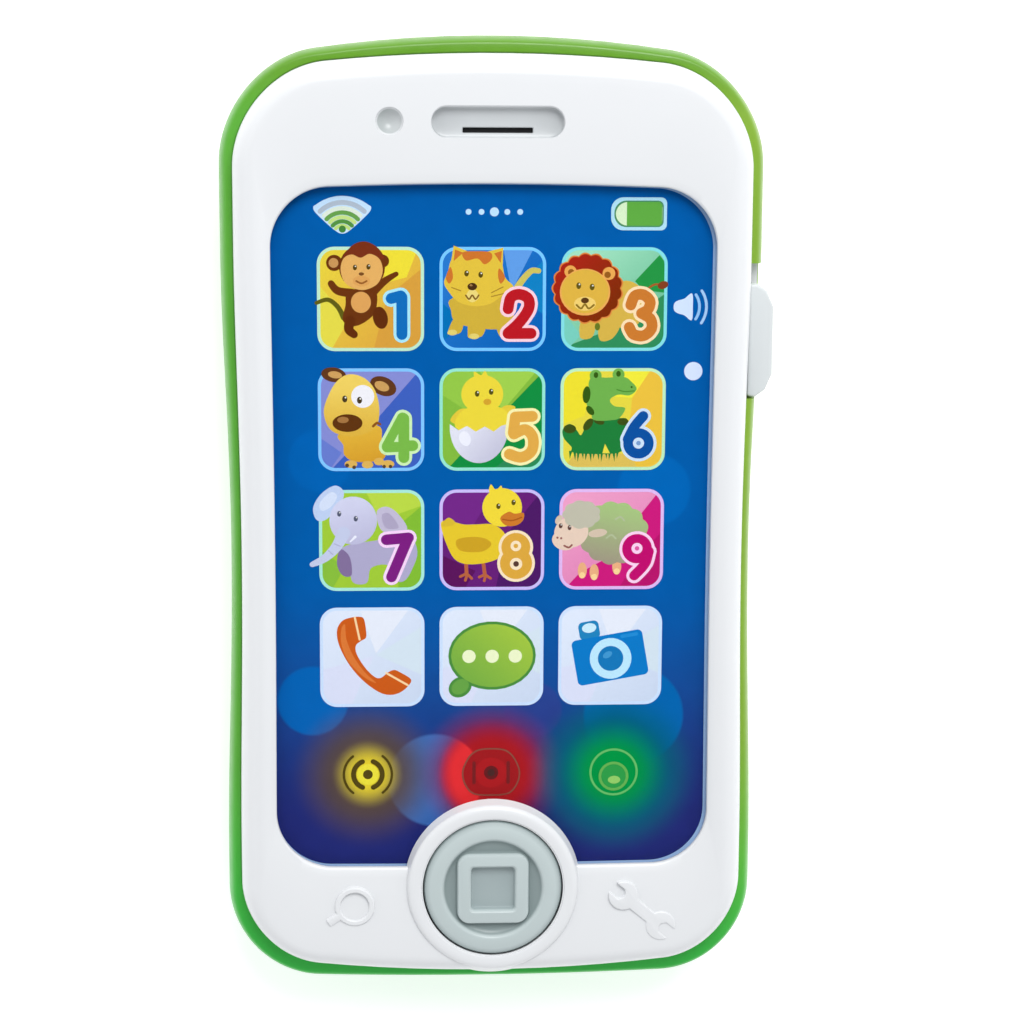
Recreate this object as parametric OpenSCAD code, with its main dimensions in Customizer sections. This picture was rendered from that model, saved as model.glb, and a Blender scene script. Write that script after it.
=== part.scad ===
// Toy cell phone, lying on its back: X across, Y towards the phone's top, Z towards its face.
// The origin is on the rest face, on the centre line, halfway along the body.

/* [Body] */
// Half of the length, from the middle to the top or bottom end of the rear shell
body_half_l = 76.4; // [76:0.1:77.4]
// Half of the largest width of the rear shell
body_half_w = 42.8; // [42.6:0.1:43.6]
// Height of the rear shell's widest line above the rest face
girth_z = 13; // [12.5:0.1:13.5]
// Height of the seam where the green rim meets the white bezel
seam_z = 19; // [18.6:0.1:19.4]
// Width of the rounding between the flat back and the side
back_round = 11; // [10:0.5:11]
// How far the side walls pull in at the waist
waist = 1.1; // [0:0.1:1.4]
// Wall thickness of the rear shell's back
back_t = 2.4; // [2.3:0.05:2.6]

/* [Bezel] */
// Half of the width of the white bezel
bezel_half_w = 40.4; // [40.2:0.1:40.6]
// Half of the length of the white bezel
bezel_half_l = 73.6; // [73.3:0.1:74]
// Height of the bezel's crest
crest_z = 25; // [24.8:0.1:25.4]
// Height of the bezel at the edge of the screen opening
lip_z = 24; // [23.8:0.05:24.1]
// Wall thickness of the bezel's skirt
skirt_t = 1.8; // [1.6:0.1:2]
// Length of the earpiece recess
ear_l = 20.4; // [18:0.2:22]
// Width of the earpiece recess
ear_w = 4.7; // [4.4:0.1:5]

/* [Screen] */
// Half of the width of the screen opening
screen_half_w = 34.6; // [34.4:0.1:34.9]
// Top edge of the screen opening, from the middle of the body
screen_top = 53.8; // [53.5:0.1:54]
// Bottom edge of the screen opening, from the middle of the body
screen_bottom = 55.4; // [55.2:0.1:55.6]
// Thickness of the clear window
window_t = 1.2; // [1:0.05:1.3]

/* [Home button] */
// Distance of the home button from the middle of the body
button_y = -58.5; // [-58.8:0.1:-58.2]
// Radius of the home button
button_r = 11.15; // [11:0.05:11.2]
// Radius of the bore that guides the home button
collar_r = 11.45; // [11.4:0.05:11.5]
// Height of the collar around the home button
collar_z = 25.7; // [25.5:0.1:26]
// Travel of the home button
button_travel = 1.2; // [0.8:0.1:1.2]

/* [Side switch] */
// Lower end of the switch knob
knob_y = 20.1; // [20:0.1:20.4]
// Length of the switch knob
knob_l = 17.9; // [17:0.1:18]
// How far the switch knob reaches from the centre line
knob_x = 44.5; // [44.2:0.1:45.4]
// Travel of the side switch
switch_travel = 3; // [2:0.5:3]

/* [Power and sound] */
// Diameter of one cell
cell_d = 10.2; // [10:0.1:10.5]
// Length of one cell with its nub
cell_l = 44.5; // [44:0.1:44.5]
// Diameter of the loudspeaker
speaker_d = 28; // [27:0.5:28]
// Distance of the loudspeaker from the middle of the body
speaker_y = 49; // [48.8:0.1:49.4]

/* [Hidden] */
$fn = 48;

// An outline is [half width, waist, top, bottom, top crown, bottom crown, top and bottom corner radius].
RIM = [body_half_w, waist, body_half_l, body_half_l, 4.8, 1.2, 15, 14.8];
BEZEL = [bezel_half_w, waist * 0.6, bezel_half_l, bezel_half_l, 3.2, 3.2, 14.4, 12.4];
SCREEN = [screen_half_w, 0.25, screen_top, screen_bottom, 0.9, 0.3, 9, 9];
waist_y = -4;
waist_l = 52;
crown_l = 40;
corner_steps = 9;
end_steps = 3;
side_steps = 5;

// Levels of the stack under the lip of the bezel, from the top down
window_z = lip_z - 0.8;
film_z = window_z - window_t;
film_t = 0.2;
touch_z = film_z - film_t;
board_t = 1.6;
board_z = 17.8;
window_margin = 1.1;

// Places that several pieces share
skirt_z = 13.5;
fit = 0.1;
housing_screw_xy = [[-26, 58.5], [26, 58.5], [-26.5, -61], [26.5, -61]];
boss_z = 14;
screw_seat_z = 8;
tapping_r = 0.85;
tapping_head_r = 1.9;
tapping_head_h = 1.1;
pilot_r = 0.95;
board_screw_xy = [[-26, 14], [26, 14], [-26, -33], [26, -33]];
touch_screw_xy = [[-17, 58.5], [17, 58.5], [-20, -59], [20, -59]];
led_x = 19.8;
led_y = -40.4;
led_shift = -0.4;
bay_y = -5;
bay_half_w = 16.8;
bay_half_l = 25.5;
bay_wall = 1.4;
bay_roof = 14.2;
cell_pitch = 11;
cell_z = 8.6;
contact_t = 0.4;
door_half_w = 20.5;
door_y = [-35.5, 33.5];
door_r = 5;
door_t = 1.5;
door_gap = 0.25;
door_screw_y = 27.5;
notch_x = 36;
notch_y = [knob_y - 0.3, knob_y + knob_l + switch_travel + 0.3];
notch_z = 12.8;
ledge_top = 13.7;
knob_z = ledge_top + 0.1;
lever_y = knob_y + 6.1;
lever_l = 6;
lever_z = knob_z + 0.1;
lever_h = 1.9;
actuator_y = lever_y + lever_l / 2;
clamp_z = 9.7;
clamp_t = 1;
clamp_post_x = 17.6;
ear_y = 63.1;
ear_x = 0.4;
dimple_xy = [-16.2, 63.2];

// ---- outlines and lofts ----

function waist_in(o, y) =
    let (u = (y - waist_y) / waist_l) abs(u) < 1 ? o[1] * pow(1 - u * u, 2) : 0;
function shaped(o, p) = [
    p.x - sign(p.x) * waist_in(o, p.y),
    p.y - (p.y > 0 ? o[4] : -o[5]) * pow(p.x / o[0], 2) * min(1, abs(p.y) / crown_l)];
function corner(cx, cy, r, a0) =
    [for (i = [0:corner_steps]) let (a = a0 + 90 * i / corner_steps) [cx + r * cos(a), cy + r * sin(a)]];
function between(p, q, n) = [for (i = [1:n]) p + (q - p) * i / (n + 1)];

// Outline o, moved inwards by d
function outline(o, d = 0) =
    let (
        w = o[0] - d, t = o[2] - d, b = o[3] - d,
        rt = max(o[6] - d, 1), rb = max(o[7] - d, 1),
        c1 = corner(w - rt, t - rt, rt, 0),
        c2 = corner(rt - w, t - rt, rt, 90),
        c3 = corner(rb - w, rb - b, rb, 180),
        c4 = corner(w - rb, rb - b, rb, 270),
        ring = concat(
            c1, between(c1[corner_steps], c2[0], end_steps),
            c2, between(c2[corner_steps], c3[0], side_steps),
            c3, between(c3[corner_steps], c4[0], end_steps),
            c4, between(c4[corner_steps], c1[0], side_steps)))
    [for (p = ring) shaped(o, p)];

function at_z(ring, z) = [for (p = ring) [p.x, p.y, z]];
function blend_rings(a, b, t) = [for (i = [0:len(a) - 1]) a[i] + (b[i] - a[i]) * t];

// A solid through rings of equal length: capped at both ends, or joined from the last to the first
module loft(rings, joined = false) {
    n = len(rings[0]);
    m = len(rings);
    walls = [for (j = [0:m - (joined ? 1 : 2)], i = [0:n - 1])
        let (k = (j + 1) % m, h = (i + 1) % n)
        each [[j * n + i, k * n + i, j * n + h], [j * n + h, k * n + i, k * n + h]]];
    caps = joined ? [] : [
        [for (i = [0:n - 1]) i],
        [for (i = [n - 1:-1:0]) (m - 1) * n + i]];
    polyhedron([for (r = rings) each r], concat(walls, caps), convexity = 6);
}

module plate(ring, z, t) {
    translate([0, 0, z])
        linear_extrude(t)
            polygon(ring);
}

module rounded_plate(x, y, r, z, t) {
    translate([0, 0, z])
        linear_extrude(t) {
            translate([x[0] + r, y[0]]) square([x[1] - x[0] - 2 * r, y[1] - y[0]]);
            translate([x[0], y[0] + r]) square([x[1] - x[0], y[1] - y[0] - 2 * r]);
            for (px = [x[0] + r, x[1] - r], py = [y[0] + r, y[1] - r])
                translate([px, py]) circle(r);
        }
}

module post(xy, r, z0, z1) {
    translate([xy.x, xy.y, z0]) cylinder(r = r, h = z1 - z0);
}

module bar(x, y, z) {
    translate([x[0], y[0], z[0]]) cube([x[1] - x[0], y[1] - y[0], z[1] - z[0]]);
}

// A tube of radius r swept along points, in rings of equal sides
module tube(path, r, sides = 8) {
    last = len(path) - 1;
    rings = [for (i = [0:last])
        let (
            d = path[min(i + 1, last)] - path[max(i - 1, 0)],
            t = d / norm(d),
            side = abs(t.z) > 0.95 ? [1, 0, 0] : [0, 0, 1],
            u = cross(side, t) / norm(cross(side, t)),
            v = cross(t, u))
        [for (k = [0:sides - 1])
            let (a = 360 * k / sides)
            path[i] + r * (cos(a) * u + sin(a) * v)]];
    loft(rings);
}

// A smooth route: each stretch between hand-placed points gets steps on a Catmull-Rom curve
function route(p, steps = 4) =
    let (n = len(p) - 1)
    concat([for (i = [0:n - 1], s = [0:steps - 1])
        let (
            t = s / steps,
            a = p[max(i - 1, 0)], b = p[i], c = p[i + 1], d = p[min(i + 2, n)])
        0.5 * (2 * b + (c - a) * t + (2 * a - 5 * b + 4 * c - d) * t * t
            + (3 * b - a - 3 * c + d) * t * t * t)], [p[n]]);

// A pan-head screw whose head faces down (-Z), its head's underside at z
module screw_up(xy, z, head_r, head_h, shank_r, shank_l) {
    translate([xy.x, xy.y, z]) {
        difference() {
            translate([0, 0, -head_h]) cylinder(r = head_r, h = head_h);
            for (a = [0, 90])
                rotate(a) translate([0, 0, -head_h + 0.4]) cube([head_r * 1.2, 0.6, 0.9], center = true);
        }
        cylinder(r = shank_r, h = shank_l);
    }
}

// ---- casing ----

rear_outer_steps = 6;
rear_inner_steps = 4;
rim_round = 1.4;
rim_band = 1.5;
side_t = 3;
seat_step = 0.2;

module rear_cup() {
    bezel_seat = outline(BEZEL, -fit);
    loft(concat(
        [for (k = [0:rear_outer_steps])
            let (a = 90 * k / rear_outer_steps)
            at_z(outline(RIM, back_round * (1 - sin(a))), girth_z * (1 - cos(a)))],
        [for (a = [0:30:90])
            at_z(outline(RIM, rim_round * (1 - cos(a))),
                girth_z + rim_band + (seam_z - girth_z - rim_band) * sin(a))],
        [at_z(bezel_seat, seam_z), at_z(bezel_seat, girth_z + seat_step)],
        [for (k = [rear_inner_steps:-1:0])
            let (a = 90 * k / rear_inner_steps)
            at_z(outline(RIM, side_t + (back_round - 1) * (1 - sin(a))),
                back_t + (girth_z - 2 * seat_step - back_t) * (1 - cos(a)))]));
}

module speaker_slots() {
    slot_w = 1.7;
    slot_pitch = 3.4;
    grille_r = 10;
    for (k = [-2:2]) {
        half = sqrt(grille_r * grille_r - k * k * slot_pitch * slot_pitch) - slot_w / 2;
        translate([0, speaker_y + k * slot_pitch, -1])
            linear_extrude(back_t + 2) {
                square([2 * half, slot_w], center = true);
                for (s = [-1, 1]) translate([s * half, 0]) circle(d = slot_w, $fn = 24);
            }
    }
}

root_z = back_t - 1;
screw_boss_r = 4.2;
board_post_r = 2.6;
clamp_post_r = 2.4;
speaker_ring_top = 6.6;
socket_top = 11;
insert_r = 2.3;
insert_z = [5.8, 9.8];

module rear_shell() {
    color("yellowgreen")
        difference() {
            union() {
                rear_cup();
                // battery bay: walls and roof
                bar([-bay_half_w - bay_wall, bay_half_w + bay_wall],
                    [bay_y - bay_half_l - bay_wall, bay_y + bay_half_l + bay_wall],
                    [root_z, bay_roof + 1.2]);
                for (xy = housing_screw_xy) post(xy, screw_boss_r, root_z, boss_z);
                for (xy = board_screw_xy) post(xy, board_post_r, root_z, board_z - board_t);
                // socket of the door screw, and the loudspeaker's locating ring and clamp posts
                post([0, door_screw_y], insert_r + 3.4, root_z, socket_top);
                difference() {
                    post([0, speaker_y], speaker_d / 2 + 1.4, root_z, speaker_ring_top);
                    post([0, speaker_y], speaker_d / 2 + 0.2, back_t, speaker_ring_top + 1);
                }
                for (s = [-1, 1]) post([s * clamp_post_x, speaker_y], clamp_post_r, root_z, clamp_z);
            }
            // inside of the bay, open to the back
            bar([-bay_half_w, bay_half_w], [bay_y - bay_half_l, bay_y + bay_half_l], [-1, bay_roof]);
            rounded_plate([-door_half_w - door_gap, door_half_w + door_gap],
                [door_y[0] - door_gap, door_y[1] + door_gap], door_r, -1, 1 + door_t + 0.2);
            post([0, door_screw_y], 4.4, -1, insert_z[0]);
            post([0, door_screw_y], insert_r, 5, insert_z[1] + 0.2);
            for (xy = housing_screw_xy) {
                post(xy, 2.9, -1, screw_seat_z);
                post(xy, 1.5, screw_seat_z - 1, boss_z + 1);
            }
            for (xy = board_screw_xy) post(xy, pilot_r, 8, board_z);
            for (s = [-1, 1]) post([s * clamp_post_x, speaker_y], pilot_r, 5, clamp_z + 1);
            speaker_slots();
            // notch in the rim for the switch knob
            bar([notch_x, 50], notch_y, [notch_z, seam_z + 1]);
        }
}

bezel_round_w = 3.3;
bezel_round_h = 4.4;

module bezel_ring() {
    crest = outline(BEZEL, bezel_round_w);
    opening = outline(SCREEN);
    loft(concat(
        [at_z(outline(BEZEL), skirt_z)],
        [for (a = [0:22.5:90])
            at_z(outline(BEZEL, bezel_round_w * (1 - cos(a))), crest_z - bezel_round_h * (1 - sin(a)))],
        [for (t = [0.35, 0.7, 1])
            at_z(blend_rings(crest, opening, t), crest_z - (crest_z - lip_z) * t * t)],
        [at_z(opening, window_z),
         at_z(outline(SCREEN, -window_margin - 0.2), window_z),
         at_z(outline(BEZEL, skirt_t), window_z - 0.9),
         at_z(outline(BEZEL, skirt_t), skirt_z)]), joined = true);
}

collar_base_z = 20.6;
collar_foot_z = seam_z + 0.1;
collar_foot_r = 16.4;
collar_top_r = collar_r + 1.5;
collar_brow_r = collar_r + 2.2;
collar_brow_z = collar_z - 0.5;

// Collar of the home button: a guide tube whose flared rim stands on the bezel, and its foot at
// the phone's end, which spreads over the green rim
module collar() {
    translate([0, button_y]) {
        translate([0, 0, collar_base_z]) cylinder(r = collar_top_r, h = collar_z - collar_base_z);
        translate([0, 0, window_z])
            cylinder(r1 = 14.2, r2 = collar_brow_r, h = collar_brow_z - window_z);
        translate([0, 0, collar_brow_z])
            cylinder(r1 = collar_brow_r, r2 = collar_top_r, h = collar_z - collar_brow_z);
        intersection() {
            translate([0, 0, collar_foot_z])
                cylinder(r1 = collar_foot_r, r2 = collar_brow_r, h = collar_brow_z - collar_foot_z);
            translate([-12, -17, collar_foot_z]) cube([24, 12, 10]);
        }
    }
}

bezel_boss_r = 3;
touch_boss_r = 1.9;
flange_r = 12.5;
ear_depth = 0.6;
slit_half_l = 5.4;
ear_slit_y = [ear_y - 1.6, ear_y - 0.8];
dimple_r = 2.3;
dimple_depth = 0.7;
mark_top = 25.25;

module magnifier_mark() {
    translate([-22.2, -61.5, lip_z - 0.4]) {
        difference() {
            cylinder(r = 3, h = mark_top - lip_z + 0.4);
            translate([0, 0, -1]) cylinder(r = 2.1, h = 5);
        }
        rotate(213) translate([2.6, -0.6, 0]) cube([3.4, 1.2, mark_top - lip_z + 0.4]);
    }
}

// A double-ended spanner: a handle between two round heads with open jaws
module spanner_mark() {
    translate([24.2, -62.8, lip_z - 0.4])
        rotate(-40)
            linear_extrude(mark_top - lip_z + 0.4) {
                square([7, 2], center = true);
                for (s = [-1, 1])
                    difference() {
                        translate([s * 4, 0]) circle(r = 2.4);
                        translate([s * 5.5, 0]) square([2.6, 1.9], center = true);
                    }
            }
}

// The white floor of the rim's notch, under the sliding knob
module knob_ledge() {
    intersection() {
        plate(outline(RIM, 0.2), notch_z + fit, ledge_top - notch_z - fit);
        bar([bezel_half_w - skirt_t, 50], [notch_y[0] + fit, notch_y[1] - fit], [notch_z, seam_z]);
    }
}

module front_bezel() {
    color("white")
        difference() {
            union() {
                bezel_ring();
                collar();
                for (xy = housing_screw_xy) post(xy, bezel_boss_r, boss_z, window_z + 0.3);
                for (xy = touch_screw_xy) post(xy, touch_boss_r, touch_z, window_z + 0.3);
                magnifier_mark();
                spanner_mark();
                knob_ledge();
            }
            post([0, button_y], collar_r, 15, 30);
            // pocket for the button's flange
            post([0, button_y], flange_r + 0.5, 15, collar_base_z);
            for (xy = housing_screw_xy) post(xy, 1.25, 10, collar_base_z);
            for (xy = touch_screw_xy) post(xy, 0.75, 18, window_z - 0.2);
            // earpiece recess and its slit
            translate([ear_x, ear_y, lip_z - ear_depth])
                linear_extrude(3) {
                    square([ear_l - ear_w, ear_w], center = true);
                    for (s = [-1, 1]) translate([s * (ear_l - ear_w) / 2, 0]) circle(d = ear_w);
                }
            bar([ear_x - slit_half_l, ear_x + slit_half_l], ear_slit_y, [20, 30]);
            // camera dimple
            translate([dimple_xy.x, dimple_xy.y, lip_z - dimple_depth + dimple_r]) sphere(r = dimple_r);
            // passage of the switch lever through the skirt
            bar([notch_x, bezel_half_w + 0.2], [lever_y - 0.6, lever_y + lever_l + switch_travel + 0.6],
                [ledge_top, lever_z + lever_h + 0.3]);
        }
}

// ---- screen and boards ----

module button_notch(r) {
    translate([0, button_y, 10]) cylinder(r = r, h = 20);
}

module screen_window() {
    color([0.8, 0.9, 1, 0.3])
        difference() {
            plate(outline(SCREEN, -window_margin), film_z, window_t);
            button_notch(collar_r + 1.7);
        }
}

module screen_film() {
    color("royalblue")
        difference() {
            plate(outline(SCREEN, -window_margin + 0.2), touch_z, film_t);
            button_notch(collar_r + 1.8);
        }
}

module touch_board() {
    color("seagreen")
        difference() {
            union() {
                plate(outline(SCREEN, -window_margin + 0.4), touch_z - board_t, board_t);
                for (xy = touch_screw_xy)
                    bar([xy.x - 3, xy.x + 3], [min(xy.y, sign(xy.y) * 50) - (xy.y < 0 ? 3 : 0),
                        max(xy.y, sign(xy.y) * 50) + (xy.y > 0 ? 3 : 0)], [touch_z - board_t, touch_z]);
            }
            button_notch(collar_r + 1.9);
            for (k = [-1:1]) post([led_shift + k * led_x, led_y], 3, 15, 25);
            for (xy = touch_screw_xy) post(xy, 1, 15, 25);
        }
}

module touch_board_screws() {
    color("silver")
        for (xy = touch_screw_xy)
            screw_up(xy, touch_z - board_t, head_r = 1.7, head_h = 0.9, shank_r = 0.7, shank_l = 2.6);
}

board_x = 35.4;
board_y = [-54, 44];
tail_x = 21;
tail_y = -69.5;

module main_board() {
    color("darkgreen")
        difference() {
            union() {
                bar([-board_x, board_x], board_y, [board_z - board_t, board_z]);
                bar([-tail_x, tail_x], [tail_y, board_y[0] + 1], [board_z - board_t, board_z]);
            }
            for (xy = board_screw_xy) post(xy, 1.1, 10, 25);
        }
}

module main_board_screws() {
    color("silver")
        for (xy = board_screw_xy)
            translate([xy.x, xy.y, board_z])
                mirror([0, 0, 1]) screw_up([0, 0], 0, tapping_head_r, tapping_head_h, tapping_r, 7);
}

module led_shroud() {
    color("whitesmoke")
        difference() {
            bar([led_shift - led_x - 4.6, led_shift + led_x + 4.6], [led_y - 5, led_y + 5],
                [board_z, touch_z - board_t]);
            for (k = [-1:1])
                translate([led_shift + k * led_x, led_y, board_z - 1])
                    cylinder(r1 = 2.2, r2 = 3.4, h = touch_z - board_t - board_z + 2);
        }
}

module led(k) {
    translate([led_shift + k * led_x, led_y, board_z]) {
        cylinder(r = 1.75, h = 0.6);
        cylinder(r = 1.45, h = 2);
        translate([0, 0, 2]) sphere(r = 1.45);
    }
}

module led_yellow() {
    color("gold") led(-1);
}

module led_red() {
    color("red") led(0);
}

module led_green() {
    color("lime") led(1);
}

// Potting over the controller chip: a low cap, rounded off by an arc of its cross-section
module controller_blob() {
    blob_r = 6;
    blob_h = 1.5;
    arc_r = (blob_r * blob_r + blob_h * blob_h) / (2 * blob_h);
    reach = asin(blob_r / arc_r);
    color("black")
        translate([10, 6, board_z])
            rotate_extrude()
                polygon(concat([[0, 0]],
                    [for (a = [reach:-reach / 6:0]) [arc_r * sin(a), blob_h - arc_r * (1 - cos(a))]]));
}

module capacitor() {
    color("midnightblue")
        translate([-27, 32, board_z - board_t]) mirror([0, 0, 1]) {
            cylinder(r = 2.5, h = 6.6);
            cylinder(r = 2.2, h = 7);
        }
}

module crystal() {
    color("silver") bar([20, 27], [-6, -3.4], [board_z, board_z + 1.8]);
}

module resistors() {
    color("dimgray")
        for (i = [0:5])
            bar([-26 + 4 * i, -24.4 + 4 * i], [2, 2.9], [board_z, board_z + 0.5]);
}

flex_x = [-30, -18];
flex_y = 28;

module flex_connectors() {
    color("ivory") {
        bar(flex_x, [flex_y, flex_y + 4], [board_z, board_z + 1]);
        bar(flex_x, [flex_y, flex_y + 4], [touch_z - board_t - 1, touch_z - board_t]);
    }
}

// The flexible cable leaves one connector, turns over and enters the other
module flex_cable() {
    z_low = board_z + 0.35;
    z_high = touch_z - board_t - 0.65;
    r = (z_high + 0.3 - z_low) / 2;
    color("tan")
        translate([flex_x[0] + 0.5, 0, 0])
            rotate([90, 0, 90])
                linear_extrude(flex_x[1] - flex_x[0] - 1) {
                    translate([flex_y - 4, z_low]) square([4, 0.3]);
                    translate([flex_y - 4, z_high]) square([4, 0.3]);
                    difference() {
                        translate([flex_y - 4, z_low + r]) circle(r);
                        translate([flex_y - 4, z_low + r]) circle(r - 0.3);
                        translate([flex_y - 4, z_low - 1]) square([4, 5]);
                    }
                }
}

// ---- home button ----

cap_z = 26;
flange_z = 19.5;
flange_top = 20.4;
square_half = 5.8;
well_half = 3.5;
dome_top = 20.4;

module rounded_square(half, r) {
    for (a = [0, 90])
        rotate(a) square([2 * half, 2 * (half - r)], center = true);
    for (sx = [-1, 1], sy = [-1, 1])
        translate([sx * (half - r), sy * (half - r)]) circle(r);
}

module home_button() {
    color("lightslategray")
        translate([0, button_y, 0]) {
            rotate_extrude()
                polygon([
                    [0, cap_z - 2], [9.9, cap_z - 2], [9.9, flange_z], [flange_r, flange_z],
                    [flange_r, flange_top], [button_r, flange_top], [button_r, cap_z - 0.5],
                    [button_r - 0.5, cap_z - 0.1],
                    [8.9, cap_z], [8.2, cap_z - 0.1], [7.4, cap_z - 0.7], [0, cap_z - 0.8]]);
            // raised square on the dish
            translate([0, 0, cap_z - 1])
                linear_extrude(1.2)
                    difference() {
                        rounded_square(square_half, 2);
                        rounded_square(well_half, 0.5);
                    }
            // plunger over the silicone dome
            translate([0, 0, dome_top + 0.05]) cylinder(r = 2.4, h = cap_z - 1.9 - dome_top);
        }
}

module home_button_dome() {
    color("gainsboro")
        translate([0, button_y, board_z])
            rotate_extrude()
                polygon([
                    [0, 1.4], [2.6, 1.4], [4.2, 0], [6, 0], [6, 0.5], [4.6, 0.5],
                    [3.2, dome_top - board_z], [0, dome_top - board_z]]);
}

// ---- side switch ----

knob_slope_l = 3.6;
actuator_x = [33.2, 38];
actuator_z = [13.7, 15.5];

module switch_knob() {
    x_in = bezel_half_w + 0.2;
    knob_top = seam_z - 0.5;
    slope = [2.6, 1.1];
    color("whitesmoke") {
        translate([0, 0, knob_z])
            linear_extrude(knob_top - knob_z)
                polygon([
                    [x_in, knob_y], [knob_x - slope[0], knob_y], [knob_x - slope[1], knob_y + slope[1]],
                    [knob_x, knob_y + knob_slope_l], [knob_x, knob_y + knob_l - knob_slope_l],
                    [knob_x - slope[1], knob_y + knob_l - slope[1]],
                    [knob_x - slope[0], knob_y + knob_l], [x_in, knob_y + knob_l]]);
        // lever, with a slot that holds the actuator
        difference() {
            bar([actuator_x[0] + 2, x_in + 0.5], [lever_y, lever_y + lever_l], [lever_z, lever_z + lever_h]);
            bar([actuator_x[0], actuator_x[1] + 0.2], [actuator_y - 0.95, actuator_y + 0.95],
                [lever_z - 1, lever_z + 3]);
        }
    }
}

module slide_switch_case() {
    color("silver")
        difference() {
            bar([30.5, 34.6], [actuator_y - 4.2, actuator_y + 4.2 + switch_travel],
                [12.6, board_z - board_t]);
            bar([33, 36], [actuator_y - 1.2, actuator_y + 1.2 + switch_travel],
                [actuator_z[0] - 0.3, actuator_z[1] + 0.3]);
        }
}

module slide_switch_actuator() {
    color("black")
        bar(actuator_x, [actuator_y - 0.9, actuator_y + 0.9], actuator_z);
}

// ---- loudspeaker ----

gasket_t = 1;
frame_z = back_t + gasket_t;
frame_h = 5;

module speaker_gasket() {
    color("dimgray")
        difference() {
            post([0, speaker_y], speaker_d / 2, back_t, back_t + gasket_t);
            post([0, speaker_y], speaker_d / 2 - 2.6, 0, 5);
        }
}

module speaker_frame() {
    r = speaker_d / 2;
    color("silver")
        translate([0, speaker_y, 0])
            rotate_extrude()
                polygon([
                    [r - 2.2, frame_z], [r, frame_z], [r, frame_z + 1.4], [r - 1, frame_z + 1.6],
                    [7.6, frame_z + frame_h], [5, frame_z + frame_h], [5, frame_z + frame_h - 0.7],
                    [7.3, frame_z + frame_h - 0.7], [r - 2.2, frame_z + 1]]);
}

module speaker_cone() {
    r = speaker_d / 2 - 2.5;
    color("black")
        translate([0, speaker_y, 0])
            rotate_extrude()
                polygon([
                    [r, frame_z + 0.3], [r, frame_z + 0.6], [r - 1.5, frame_z + 0.9],
                    [4.4, frame_z + 2.9], [0, frame_z + 2.2], [0, frame_z + 1.9],
                    [4.4, frame_z + 2.6], [r - 1.5, frame_z + 0.6]]);
}

module speaker_magnet() {
    color("dimgray") post([0, speaker_y], 6.6, frame_z + frame_h, clamp_z);
}

module speaker_clamp() {
    color("silver")
        difference() {
            bar([-clamp_post_x - 3, clamp_post_x + 3], [speaker_y - 3, speaker_y + 3],
                [clamp_z, clamp_z + clamp_t]);
            for (s = [-1, 1]) post([s * clamp_post_x, speaker_y], 1.1, 5, 15);
        }
}

module speaker_clamp_screws() {
    color("silver")
        for (s = [-1, 1])
            translate([s * clamp_post_x, speaker_y, clamp_z + clamp_t])
                mirror([0, 0, 1]) screw_up([0, 0], 0, tapping_head_r, tapping_head_h, tapping_r, 5.4);
}

module speaker_wires() {
    wire_r = 0.5;
    color("crimson")
        for (s = [0, 1])
            tube(route([
                [-9.5 + 2 * s, 55.2, 6.7 + s], [-9.6 + 2 * s, 56.4, 8.4 + s / 2], [-9.7 + 2 * s, 55, 11],
                [-9.8 + 2 * s, 50, 13], [-10 + 2 * s, 43.5, 14], [-10 + 2 * s, 40.4, 14.8],
                [-10 + 2 * s, 40, board_z - board_t]]), wire_r);
}

module earpiece_cloth() {
    color("black")
        bar([ear_x - 7, ear_x + 7], [ear_y - 3, ear_y + 1.4], [22.4, 22.7]);
}

// ---- power ----

module cell(x, up) {
    y_plus = bay_y + up * (bay_half_l - contact_t);
    translate([x, y_plus, cell_z])
        rotate([90 * up, 0, 0]) {
            cylinder(r = 1.9, h = 1.4);
            translate([0, 0, 1]) cylinder(d = cell_d, h = cell_l - 1);
        }
}

module battery_1() {
    color("goldenrod") cell(-cell_pitch, 1);
}

module battery_2() {
    color("goldenrod") cell(0, -1);
}

module battery_3() {
    color("goldenrod") cell(cell_pitch, 1);
}

module contact_plate(x, up) {
    y_in = bay_y + up * (bay_half_l - contact_t / 2);
    bar(x, [y_in - contact_t / 2, y_in + contact_t / 2], [cell_z - 3.6, cell_z + 3.8]);
}

module battery_contacts() {
    color("silver") {
        contact_plate([-15.5, -6.5], 1);
        contact_plate([-4.5, 15.5], 1);
        contact_plate([-15.5, 4.5], -1);
        contact_plate([6.5, 15.5], -1);
    }
}

// A conical coil spring, from its wide end on a plate to its narrow end on a cell
module cone_spring(x, up) {
    gap = 2 * (bay_half_l - contact_t) - cell_l - 0.2;
    turns = 3;
    steps = 12;
    wire_r = 0.35;
    y_plate = bay_y - up * (bay_half_l - contact_t - 0.1);
    tube([for (i = [0:turns * steps])
        let (
            t = i / (turns * steps),
            r = 3.6 - 1.4 * t,
            a = 360 * i / steps)
        [x + r * cos(a), y_plate + up * (wire_r + (gap - 2 * wire_r) * t), cell_z + r * sin(a)]],
        wire_r, 6);
}

module battery_springs() {
    color("silver") {
        cone_spring(-cell_pitch, 1);
        cone_spring(0, -1);
        cone_spring(cell_pitch, 1);
    }
}

module battery_wires() {
    wire_r = 0.6;
    y_end = bay_y + bay_half_l + bay_wall;
    y_low = bay_y - bay_half_l - bay_wall;
    color("crimson") {
        tube(route([
            [-11, y_end + 0.1, 12], [-11, y_end + 1.6, 12.2], [-11, y_end + 2.6, 13.6],
            [-11, y_end + 2.8, board_z - board_t]]), wire_r);
        tube(route([
            [11, y_low - 0.1, 12], [11, y_low - 1.6, 12.2], [11, y_low - 2.6, 13.6],
            [11, y_low - 2.8, board_z - board_t]]), wire_r);
    }
}

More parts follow.
